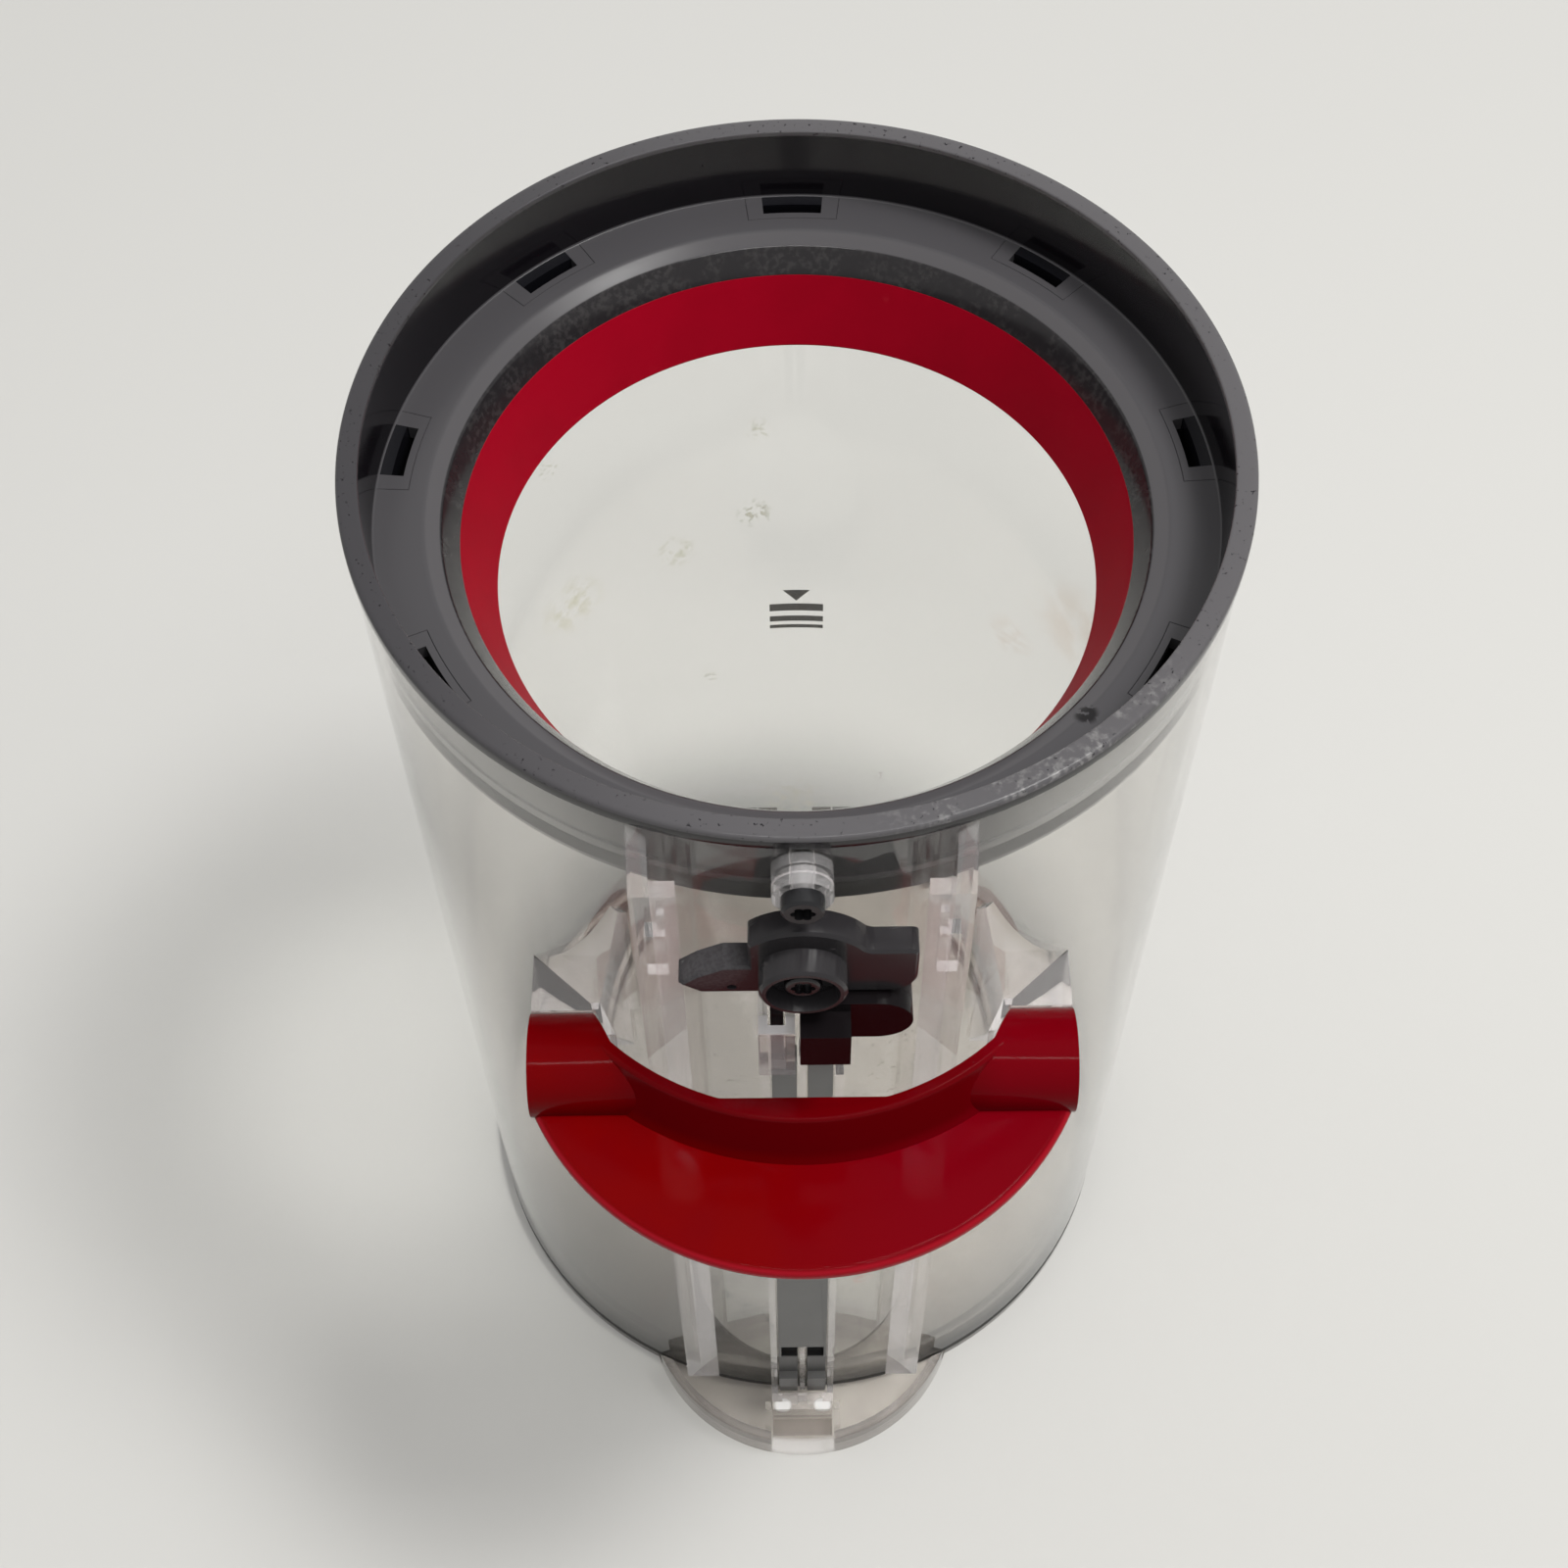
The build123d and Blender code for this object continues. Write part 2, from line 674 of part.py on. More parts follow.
def base_lid():
    """Clear lid: plate with the inlet bulge, plug wall, wand port, hinge knuckles and catch cheeks."""
    outline = Circle(tube_r) + Pos(0, inlet_y) * Circle(inlet_r)
    lid = extrude(outline, lid_plate)
    lid += tube(plug_r, plug_r - plug_wall, 0, lid_plate + plug_height)
    bulge = tube(inlet_r, inlet_r - inlet_wall, 0, inlet_height, 0, inlet_y)
    lid += bulge - disc(tube_r + tube_wall, lid_plate, inlet_height)
    port = disc(port_r + port_wall, 0, port_height, 0, port_y)
    lid += port
    notch = catch_half + slip
    lid -= block(-notch, notch, inlet_y - inlet_r, inlet_y, lid_plate, inlet_height) - disc(tube_r, 0, inlet_height)
    cheek_back = -catch_back - catch_foot_reach
    lid += both_sides(block(notch, notch + notch_cheek, cheek_back, -strap_front, 0, inlet_height))
    knuckle = bar_x(knuckle_r, knuckle_in, knuckle_in + knuckle_length, hinge_y, hinge_z)
    knuckle += block(knuckle_in, knuckle_in + knuckle_length, plug_r - plug_wall, hinge_y, 0, lid_plate)
    knuckle += block(knuckle_in, knuckle_in + knuckle_length, hinge_y - knuckle_r, hinge_y, 0, hinge_z)
    lid += both_sides(knuckle)
    pad_top = hinge_z - hinge_coil_r - hinge_coil_wire_r - run
    lid += block(-knuckle_in, knuckle_in, plug_r, hinge_y - pin_r, 0, pad_top)
    lug_x = flap_bead_half - flap_lug
    lug_z = flap_z + flap_thick / 2
    lug = bar_x(flap_bead_r + flap_lug_wall, lug_x, flap_bead_half, flap_hinge_y, lug_z)
    lug_r = flap_bead_r + flap_lug_wall
    lug += block(lug_x, flap_bead_half, flap_hinge_y - lug_r, flap_hinge_y + lug_r, 0, lug_z)
    lid += both_sides(lug)
    lid -= disc(port_r, 0, port_height, 0, port_y)
    lid -= bar_x(flap_bead_r + run, -flap_bead_half, flap_bead_half, flap_hinge_y, lug_z)
    return lid - bar_x(pin_r + run, -tube_r, tube_r, hinge_y, hinge_z)


def lid_seal():
    """Rubber ring on the lid's rim, under the tube's foot."""
    return tube(tube_r, plug_r + run, lid_plate, lid_plate + seal_height)


def lid_catch():
    """Clear springy hook: foot on the lid, upright tongue and two teeth over the tube's strap."""
    tooth_z = strap_z + strap_height + slip
    top = tooth_z + tooth_height
    front = -catch_back - catch_thick
    tongue = block(-catch_half, catch_half, front, -catch_back, lid_plate, top)
    foot_y = -catch_back - catch_foot_reach
    foot = block(-catch_half, catch_half, foot_y, -catch_back, lid_plate, lid_plate + catch_foot)
    centre = prong_gap / 2 + tooth_width / 2
    outline = Polyline(
        (-catch_back, tooth_z), (-rod_front - slip, tooth_z), (-catch_back, top), close=True
    )
    tooth = extrude(Plane.YZ.offset(centre - tooth_width / 2) * make_face(outline), tooth_width)
    return tongue + foot + both_sides(tooth)


def inlet_flap():
    """Rubber flap that closes the wand port, with a bead it swings on."""
    lug_z = flap_z + flap_thick / 2
    tab_half = flap_bead_half - flap_lug - slip
    flap = disc(port_r + port_wall, flap_z, flap_z + flap_thick, 0, port_y)
    flap += block(-tab_half, tab_half, port_y, flap_hinge_y, flap_z, flap_z + flap_thick)
    flap += bar_x(flap_bead_r, -tab_half, tab_half, flap_hinge_y, lug_z)
    return flap + bar_x(flap_bead_r, -flap_bead_half, flap_bead_half, flap_hinge_y, lug_z)


def hinge_pin():
    """Steel pin through the tube's lugs and the lid's knuckles."""
    half = knuckle_in + knuckle_length + slip + lug_length
    return bar_x(pin_r, -half, half, hinge_y, hinge_z)


def hinge_spring():
    """Torsion spring on the hinge pin between the lid's knuckles."""
    length = hinge_coil_pitch * hinge_coil_turns
    spring = torsion_spring(hinge_coil_r, hinge_coil_wire_r, hinge_coil_pitch, hinge_coil_turns, hinge_leg)
    return Plane.YZ.offset(-length / 2) * Pos(hinge_y, hinge_z) * Rot(0, 0, -90) * spring


pieces = {
    "bin_shell": bin_shell,
    "top_collar": top_collar,
    "collar_seal": collar_seal,
    "wiper_ring": wiper_ring,
    "collar_screw": collar_screw,
    "handle": handle,
    "release_lever": release_lever,
    "lever_washer": lever_washer,
    "lever_screw": lever_screw,
    "lever_spring": lever_spring,
    "push_rod": push_rod,
    "push_rod_head": push_rod_head,
    "base_lid": base_lid,
    "lid_seal": lid_seal,
    "lid_catch": lid_catch,
    "inlet_flap": inlet_flap,
    "hinge_pin": hinge_pin,
    "hinge_spring": hinge_spring,
}

os.makedirs("parts", exist_ok=True)
for name, build in pieces.items():
    export_step(build(), f"parts/{name}.step")
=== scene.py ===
"""Looks of a clear cyclone dust bin: finishes, fine pieces, studio and camera."""

import logging
import math
from dataclasses import dataclass
from enum import Enum
from functools import partial, reduce

import bmesh
import bpy
import numpy as np
from mathutils import Matrix

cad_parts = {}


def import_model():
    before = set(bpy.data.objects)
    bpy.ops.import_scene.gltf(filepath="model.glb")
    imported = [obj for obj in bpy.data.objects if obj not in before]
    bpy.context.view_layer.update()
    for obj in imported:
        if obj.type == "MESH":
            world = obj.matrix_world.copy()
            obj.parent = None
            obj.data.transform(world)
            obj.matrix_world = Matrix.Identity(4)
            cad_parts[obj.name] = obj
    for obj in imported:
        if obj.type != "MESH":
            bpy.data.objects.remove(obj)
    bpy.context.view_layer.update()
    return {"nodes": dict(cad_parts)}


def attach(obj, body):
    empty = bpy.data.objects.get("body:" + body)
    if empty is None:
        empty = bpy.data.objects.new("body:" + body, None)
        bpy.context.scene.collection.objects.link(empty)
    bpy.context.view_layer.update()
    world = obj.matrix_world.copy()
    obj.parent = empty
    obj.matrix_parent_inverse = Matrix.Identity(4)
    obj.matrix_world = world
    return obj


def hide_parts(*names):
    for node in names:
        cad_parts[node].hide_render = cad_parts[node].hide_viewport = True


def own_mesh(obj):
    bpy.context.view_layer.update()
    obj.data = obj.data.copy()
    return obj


LOG = logging.getLogger("dust_bin")
MM = 0.001
# In metres: points closer than MERGE become one, and edges shorter than SPECK go
MERGE = 2e-6
SPECK = 1e-7
# Edges that turn by more degrees than this stay sharp
SHARP_DEGREES = 35.0

Colour = tuple[float, float, float]
Point = tuple[float, float, float]
Span = tuple[float, float]
Socket = bpy.types.NodeSocket
Material = bpy.types.Material
Layer = tuple[Socket, "Socket | Colour"]


class Body(Enum):
    """Bodies of the bin that new pieces ride on."""

    BIN = "bin"


class Slot(Enum):
    """Names of material slots in the record."""

    COLLAR = "collar_grey"
    WIPER = "red_rubber"


class Maths(Enum):
    """Sums that a material needs."""

    ADD = "ADD"
    TAKE = "SUBTRACT"
    TIMES = "MULTIPLY"
    MOST = "MAXIMUM"
    OVER = "GREATER_THAN"
    POWER = "POWER"
    SIZE = "ABSOLUTE"
    TURN = "ARCTAN2"
    FOLD = "PINGPONG"


# Materials


@dataclass(frozen=True)
class Patch:
    """A round patch on a piece.

    Attributes:
        centre: Its middle in millimetres.
        reach: Radius at which it ends, in millimetres.
        soft: Share of that radius over which it fades.
    """

    centre: Point
    reach: float
    soft: float = 0.7


@dataclass(frozen=True)
class Cloud:
    """Cloudy noise with soft edges.

    Attributes:
        size: Width of a cloud in millimetres.
        detail: Octaves of finer noise.
        ends: Noise levels at which a cloud begins and is full.
    """

    size: float
    detail: float
    ends: Span

    def grown(self, fall: float) -> "Cloud":
        """The same clouds, made larger by a fall of both levels."""
        return Cloud(self.size, self.detail, (self.ends[0] - fall, self.ends[1] - fall))


class Nodes:
    """A node tree, with a short method for each kind of node."""

    def __init__(self, tree: bpy.types.NodeTree) -> None:
        """Takes the tree that nodes are added to."""
        self.tree = tree

    def node(self, kind: str) -> bpy.types.Node:
        """A new node of a kind."""
        return self.tree.nodes.new(kind)

    def feed(self, socket: Socket, value: "Socket | float | Colour | Point") -> None:
        """Links a socket to another, or sets its value.

        Args:
            socket: The input to feed.
            value: An output socket, a number, or a colour or point.
        """
        if isinstance(value, Socket):
            self.tree.links.new(value, socket)
        elif isinstance(value, tuple) and socket.type == "RGBA":
            socket.default_value = (*value, 1.0)
        else:
            socket.default_value = value

    def split(self, vector: Socket) -> tuple[Socket, Socket, Socket]:
        """Takes a vector apart.

        Args:
            vector: The vector.

        Returns:
            Its X, Y and Z.
        """
        parts = self.node("ShaderNodeSeparateXYZ")
        self.feed(parts.inputs["Vector"], vector)
        return tuple(parts.outputs[name] for name in "XYZ")

    def ramp(
        self,
        value: Socket,
        ends: Span,
        start: "Socket | float" = 0.0,
        end: "Socket | float" = 1.0,
    ) -> Socket:
        """A smooth step.

        Args:
            value: The number that is stepped.
            ends: Where the step begins and ends.
            start: What comes out before the step.
            end: What comes out after it.

        Returns:
            A number from start to end.
        """
        step = self.node("ShaderNodeMapRange")
        step.interpolation_type = "SMOOTHSTEP"
        low, high = ends
        numbers = {"Value": value, "From Min": low, "From Max": high, "To Min": start, "To Max": end}
        for name, number in numbers.items():
            self.feed(step.inputs[name], number)
        return step.outputs["Result"]

    def blend(self, share: Socket, a: "Socket | float", b: "Socket | float") -> Socket:
        """Number a where share is 0 and number b where it is 1."""
        return self.ramp(share, (0.0, 1.0), a, b)

    def span(self, place: Socket, ends: Span, start: float = 0.0, end: float = 1.0) -> Socket:
        """A smooth step from start at one place to end at another, in millimetres."""
        return self.ramp(place, (ends[0] * MM, ends[1] * MM), start, end)

    def maths(self, kind: Maths, a: "Socket | float", b: "Socket | float") -> Socket:
        """Works on two numbers.

        Args:
            kind: What is done with them.
            a: The first number.
            b: The second number.

        Returns:
            The result.
        """
        sum_node = self.node("ShaderNodeMath")
        sum_node.operation = kind.value
        self.feed(sum_node.inputs[0], a)
        self.feed(sum_node.inputs[1], b)
        return sum_node.outputs[0]

    def times(self, *factors: "Socket | float") -> Socket:
        """The product of two numbers or more."""
        return reduce(partial(self.maths, Maths.TIMES), factors)

    def rest(self, share: Socket) -> Socket:
        """What a share leaves of 1."""
        return self.maths(Maths.TAKE, 1.0, share)

    def beyond(self, place: Socket, start: float) -> Socket:
        """1 beyond a place in millimetres and 0 before it."""
        return self.maths(Maths.OVER, place, start * MM)

    def before(self, place: Socket, end: float) -> Socket:
        """1 before a place in millimetres and 0 beyond it."""
        return self.maths(Maths.OVER, end * MM, place)

    def within(self, place: Socket, ends: Span) -> Socket:
        """1 between two places in millimetres and 0 outside them."""
        return self.times(self.beyond(place, ends[0]), self.before(place, ends[1]))

    def seen(self) -> Socket:
        """Tells the rays that show a surface from those that light one.

        Returns:
            1 for rays of the camera, of reflections and through clear plastic, and 0 for the rest.
        """
        outputs = self.node("ShaderNodeLightPath").outputs
        rays = [outputs[f"Is {kind} Ray"] for kind in ("Camera", "Glossy", "Transmission")]
        return reduce(partial(self.maths, Maths.MOST), rays)


class Recipe(Nodes):
    """Node tree of one material, round its main shader."""

    def __init__(self, name: str) -> None:
        """Starts a material.

        Args:
            name: The material's name.
        """
        self.material = bpy.data.materials.new(name)
        self.material.use_nodes = True
        super().__init__(self.material.node_tree)
        self.shader = self.tree.nodes["Principled BSDF"]
        self.output = self.tree.nodes["Material Output"]
        self.place = self.node("ShaderNodeTexCoord").outputs["Object"]
        self.x, self.y, self.z = self.split(self.place)

    def set(self, **values: "Socket | float | Colour") -> None:
        """Feeds the main shader's inputs, named with underscores for spaces."""
        for name, value in values.items():
            self.feed(self.shader.inputs[name.replace("_", " ")], value)

    def noise(self, size: float, detail: float = 2.0, stretch: Point = (1.0, 1.0, 1.0)) -> Socket:
        """Cloudy noise over the piece.

        Args:
            size: Width of a cloud in millimetres.
            detail: Octaves of finer noise.
            stretch: How much narrower the clouds are along each axis.

        Returns:
            The noise, mostly from 0.3 to 0.7.
        """
        mapping = self.node("ShaderNodeMapping")
        self.feed(mapping.inputs["Vector"], self.place)
        mapping.inputs["Scale"].default_value = stretch
        noise = self.node("ShaderNodeTexNoise")
        self.feed(noise.inputs["Vector"], mapping.outputs["Vector"])
        noise.inputs["Scale"].default_value = 1.0 / (size * MM)
        noise.inputs["Detail"].default_value = detail
        return noise.outputs["Fac"]

    def cloud(self, cloud: Cloud, start: float = 0.0, end: float = 1.0) -> Socket:
        """Clouds over the piece, from start between them to end inside them."""
        return self.ramp(self.noise(cloud.size, cloud.detail), cloud.ends, start, end)

    def mix(self, share: Socket, a: "Socket | Colour", b: "Socket | Colour") -> Socket:
        """Mixes two colours.

        Args:
            share: A number from 0 to 1.
            a: Colour where share is 0.
            b: Colour where share is 1.

        Returns:
            The mixed colour.
        """
        mix = self.node("ShaderNodeMix")
        mix.data_type = "RGBA"
        self.feed(mix.inputs["Factor"], share)
        # Inputs 6 and 7 and output 2 are the node's colour sockets
        self.feed(mix.inputs[6], a)
        self.feed(mix.inputs[7], b)
        return mix.outputs[2]

    def paint(self, colour: "Socket | Colour", *layers: Layer) -> "Socket | Colour":
        """A colour with layers over it.

        Args:
            colour: What is under the layers.
            layers: Where each layer is, from 0 to 1, and its colour.

        Returns:
            The colour that shows.
        """
        for share, layer in layers:
            colour = self.mix(share, colour, layer)
        return colour

    def spot(self, patch: Patch) -> Socket:
        """1 inside a round patch and 0 outside.

        Args:
            patch: The patch.

        Returns:
            A number that fades from 1 to 0 over the patch's soft edge.
        """
        gap = self.node("ShaderNodeVectorMath")
        gap.operation = "DISTANCE"
        self.feed(gap.inputs[0], self.place)
        gap.inputs[1].default_value = tuple(MM * c for c in patch.centre)
        inner = patch.reach * (1.0 - patch.soft)
        return self.span(gap.outputs["Value"], (inner, patch.reach), 1.0, 0.0)

    def bump(self, height: Socket, depth: float) -> None:
        """Raises the main shader's surface.

        Args:
            height: How high each place is, from 0 to 1.
            depth: What a height of 1 is in millimetres.
        """
        bump = self.node("ShaderNodeBump")
        bump.inputs["Distance"].default_value = depth * MM
        self.feed(bump.inputs["Height"], height)
        self.set(Normal=bump.outputs["Normal"])

    def width(self) -> Socket:
        """Distance in metres from the bin's middle plane."""
        return self.maths(Maths.SIZE, self.x, 0.0)

    def radius(self, y: float = 0.0) -> Socket:
        """Distance in metres from an upright axis.

        Args:
            y: Place of the axis in millimetres along Y, 0 for the bin's own axis.

        Returns:
            sqrt(X^2 + (Y - y)^2).
        """
        off = self.maths(Maths.TAKE, self.y, y * MM)
        square = self.maths(Maths.ADD, self.times(self.x, self.x), self.times(off, off))
        return self.maths(Maths.POWER, square, 0.5)

    def show(self, share: Socket, other: Socket) -> None:
        """Shows another shader where share is 1, and the main one where it is 0.

        Args:
            share: A number from 0 to 1.
            other: What the other shader gives.
        """
        either = self.node("ShaderNodeMixShader")
        for socket, value in zip(either.inputs, (share, self.shader.outputs["BSDF"], other)):
            self.feed(socket, value)
        self.feed(self.output.inputs["Surface"], either.outputs["Shader"])


@dataclass(frozen=True)
class Stain:
    """Dirt on the clear plastic.

    Attributes:
        centre: Its middle in millimetres.
        reach: Its radius in millimetres.
        colour: What the light that passes it is tinted to.
        grain: Width of its broken edge's clouds in millimetres.
        cover: How much of it is filled.
        detail: Octaves of finer noise in that edge.
        begins: Noise level at which the clouds begin without cover, and how far cover lowers it.
        full: The same for the level at which they are full.
    """

    centre: Point
    reach: float
    colour: Colour
    grain: float
    cover: float
    detail: float = 4.0
    begins: Span = (0.62, 0.25)
    full: Span = (0.66, 0.1)

    def share(self, recipe: Recipe) -> Socket:
        """Where the dirt is.

        Args:
            recipe: The material that has it.

        Returns:
            A number from 0 to 1.
        """
        ends = tuple(level - fall * self.cover for level, fall in (self.begins, self.full))
        broken = recipe.cloud(Cloud(self.grain, self.detail, ends))
        return recipe.times(recipe.spot(Patch(self.centre, self.reach)), broken)


@dataclass(frozen=True)
class ClearPlastic:
    """Clear polycarbonate with fine scratches, handled haze and milky parts.

    Attributes:
        name: The material's name.
        tint: Colour of light that has passed a clean wall.
        milk: The same where the plastic is milky.
        clear: Share of the light that passes straight on.
        milky: The same share where the plastic is milky.
        ior: How strongly the plastic bends light.
        polish: Roughness where it is clean.
        haze: Roughness where it is handled.
        smudges: Clouds in which it is handled.
        coat: Weight of the surface's own shine.
        coat_polish: Roughness of that shine.
        scratch: Width of the scratches in millimetres.
        scratch_run: How much narrower they are along each axis.
        scratch_depth: Their depth in millimetres.
        lamp_tint: Colour of lamp light that has passed.
    """

    name: str
    tint: Colour = (0.965, 0.967, 0.952)
    milk: Colour = (0.95, 0.925, 0.93)
    clear: float = 0.97
    milky: float = 0.86
    ior: float = 1.09
    polish: float = 0.03
    haze: float = 0.10
    smudges: Cloud = Cloud(14.0, 4.0, (0.5, 0.75))
    coat: float = 0.7
    coat_polish: float = 0.04
    scratch: float = 1.2
    scratch_run: Point = (1.0, 1.0, 0.04)
    scratch_depth: float = 0.0006
    lamp_tint: Colour = (0.86, 0.86, 0.85)

    def make(self) -> Material:
        """Makes the material.

        Returns:
            The finished material.
        """
        recipe = Recipe(self.name)
        milk = self.milky_parts(recipe)
        recipe.set(Base_Color=recipe.mix(milk, self.tinted(recipe), self.milk))
        recipe.set(Roughness=recipe.cloud(self.smudges, self.polish, self.haze))
        recipe.set(Transmission_Weight=self.passing(recipe, milk), IOR=self.ior)
        recipe.set(Coat_Weight=self.coat, Coat_Roughness=self.coat_polish)
        recipe.bump(recipe.noise(self.scratch, stretch=self.scratch_run), self.scratch_depth)
        through = recipe.node("ShaderNodeBsdfTransparent")
        recipe.feed(through.inputs["Color"], self.lamp_tint)
        lamp_ray = recipe.node("ShaderNodeLightPath").outputs["Is Shadow Ray"]
        recipe.show(lamp_ray, through.outputs["BSDF"])
        return recipe.material

    def tinted(self, recipe: Recipe) -> Socket:
        """Colour of light that has passed the plastic, over the piece."""
        raise NotImplementedError

    def milky_parts(self, recipe: Recipe) -> Socket:
        """Where the plastic is milky, from 0 to 1."""
        raise NotImplementedError

    def passing(self, recipe: Recipe, milk: Socket) -> Socket:
        """Share of the light that passes straight on, given where the plastic is milky."""
        return recipe.blend(milk, self.clear, self.milky)


@dataclass(frozen=True)
class ShellPlastic(ClearPlastic):
    """The shell's plastic: film, dirt and milky raised parts, with painted shade and a painted
    highlight.

    Sizes in millimetres.

    Attributes:
        front_shade_tint: Tint of the front half, darker as painted shade of the shadowed inside seen
            through it.
        front: Places along Y at which the front half is full and gone.
        painted_shadow_tint: Tint of a painted shadow low on the front left.
        dull: That painted shadow's patch.
        foot_film_shade_tint: Tint near the foot, a grey film and painted shade of the shadowed floor
            inside.
        film: Heights at which that film and shade are full and gone.
        film_shade_x: Places across at which that painted shade is strongest and weakest.
        film_share: How much of it is on the shaded left, the lit right and the runner channel.
        channel: Half widths at which the channel's film ends and the sides' film begins.
        seal_shade_tint: Painted shade just above the lid's seal, on the front half.
        seal: Heights at which that painted shade is full and gone.
        raised_r: Radii at which what stands out from the tube begins and is full.
        loop_rim: Lowest and highest corner of the rim of the rod's guide loop.
        rim_highlight: Share of the light that the loop's rim stops, so that its milk shows as a
            painted highlight.
        stains: Its dirt.
    """

    # Painted shade: the front half is tinted darker for the shadowed inside seen through it.
    front_shade_tint: Colour = (0.815, 0.80, 0.78)
    front: Span = (-25.0, 25.0)
    # Painted shadow: a soft dark patch low on the front left.
    painted_shadow_tint: Colour = (0.54, 0.535, 0.525)
    dull: Patch = Patch((-43.0, -40.0, 30.0), 66.0, 0.75)
    # Film and painted shade: the wall darkens towards the foot, most on the shaded left.
    foot_film_shade_tint: Colour = (0.20, 0.206, 0.208)
    film: Span = (-6.0, 60.0)
    film_shade_x: Span = (-40.0, 40.0)
    film_share: tuple[float, float, float] = (1.0, 0.65, 0.45)
    channel: Span = (13.0, 24.0)
    # Painted shade: a dark line on the front wall just above the lid's seal.
    seal_shade_tint: Colour = (0.10, 0.105, 0.10)
    seal: Span = (4.0, 11.0)
    raised_r: Span = (58.35, 58.6)
    loop_rim: tuple[Point, Point] = ((-5.8, -66.2, 167.5), (-0.8, -63.4, 168.1))
    # Painted highlight: the guide loop's rim is made milky where it catches the light.
    rim_highlight: float = 0.8
    stains: tuple[Stain, ...] = ()

    def behind(self, recipe: Recipe) -> Socket:
        """0 on the front half and 1 on the far half."""
        return recipe.span(recipe.y, self.front)

    def tinted(self, recipe: Recipe) -> Socket:
        """Tints the shell's wall.

        Args:
            recipe: The material so far.

        Returns:
            Colour of light that has passed it.
        """
        behind = self.behind(recipe)
        film = recipe.times(recipe.span(recipe.z, self.film, 1.0, 0.0), self.cover(recipe, behind))
        # Painted shade just above the seal, on the front half.
        line = recipe.times(recipe.span(recipe.z, self.seal, 1.0, 0.0), recipe.rest(behind))
        return recipe.paint(
            self.front_shade_tint,
            (behind, self.tint),
            (recipe.spot(self.dull), self.painted_shadow_tint),
            (film, self.foot_film_shade_tint),
            (line, self.seal_shade_tint),
            *((stain.share(recipe), stain.colour) for stain in self.stains),
        )

    def cover(self, recipe: Recipe, behind: Socket) -> Socket:
        """How much of the foot's film and painted shade each side of the shell has.

        Args:
            recipe: The material so far.
            behind: 1 on the far half.

        Returns:
            The share, from 0 to 1.
        """
        # More of the foot's painted shade on the shaded left than on the lit right.
        shaded, lit, least = self.film_share
        sides = recipe.span(recipe.x, self.film_shade_x, shaded, lit)
        front = recipe.span(recipe.width(), self.channel, least, 1.0)
        return recipe.times(sides, recipe.maths(Maths.MOST, front, behind))

    def milky_parts(self, recipe: Recipe) -> Socket:
        """Rails, stops, guides, loop and ears, which stand out from the tube's front."""
        raised = recipe.span(recipe.radius(), self.raised_r)
        return recipe.times(raised, recipe.rest(self.behind(recipe)))

    def passing(self, recipe: Recipe, milk: Socket) -> Socket:
        """Passes less light on the rim of the guide loop, as a painted highlight.

        Args:
            recipe: The material so far.
            milk: Where the plastic is milky.

        Returns:
            Share of the light that passes straight on.
        """
        # Painted highlight on the guide loop's rim.
        places = zip((recipe.x, recipe.y, recipe.z), zip(*self.loop_rim))
        rim = recipe.times(self.rim_highlight, *(recipe.within(place, ends) for place, ends in places))
        return recipe.times(super().passing(recipe, milk), recipe.rest(rim))


@dataclass(frozen=True)
class LidPlastic(ClearPlastic):
    """The lid's plastic, darker in the wall of its inlet bulge, with painted light to the right. Sizes
    in millimetres.

    Attributes:
        pale: Tint on the right, paler as painted light; the darker left is painted shade.
        lit_side_x: Places across at which that painted light begins and is full.
        inlet_y: Place of the bulge's axis along Y.
        tube_r: The bulge stands out beyond this radius of the bin.
        wall_r: Radii at which the bulge's wall begins and is full.
        wall_tint: Tint of that wall.
        edge_r: Radii at which the wall's outer face begins and is full.
        edge_tint: Tint of that face.
        lip_x: Half widths at which the pale lip in front of the catch is full and gone.
        murk: Clouds of the wall's tint in the rest of the lid.
        murk_share: How strong they are.
    """

    # Painted light: the lid's tint is paler on the right than on the left.
    pale: Colour = (0.79, 0.755, 0.725)
    lit_side_x: Span = (-20.0, 16.0)
    inlet_y: float = -42.0
    tube_r: float = 57.0
    wall_r: Span = (25.8, 26.3)
    wall_tint: Colour = (0.52, 0.49, 0.475)
    edge_r: Span = (28.1, 28.3)
    edge_tint: Colour = (0.34, 0.32, 0.31)
    lip_x: Span = (5.4, 6.0)
    murk: Cloud = Cloud(7.0, 3.0, (0.4, 0.7))
    murk_share: float = 0.25

    def tinted(self, recipe: Recipe) -> Socket:
        """Tints the lid.

        Args:
            recipe: The material so far.

        Returns:
            Colour of light that has passed it.
        """
        reach = recipe.radius(self.inlet_y)
        outside = recipe.beyond(recipe.radius(), self.tube_r)
        return recipe.paint(
            self.tint,
            # Painted light and shade: paler to the right, darker to the left.
            (recipe.span(recipe.x, self.lit_side_x), self.pale),
            (recipe.cloud(self.murk, 0.0, self.murk_share), self.wall_tint),
            (recipe.times(outside, recipe.span(reach, self.wall_r)), self.wall_tint),
            (recipe.times(outside, recipe.span(reach, self.edge_r)), self.edge_tint),
        )

    def milky_parts(self, recipe: Recipe) -> Socket:
        """Finds the lip of the bulge in front of the catch.

        Args:
            recipe: The material so far.

        Returns:
            1 on the lip and 0 elsewhere.
        """
        wall = recipe.span(recipe.radius(self.inlet_y), self.wall_r)
        middle = recipe.span(recipe.width(), self.lip_x, 1.0, 0.0)
        return recipe.times(wall, recipe.before(recipe.y, self.inlet_y), middle)


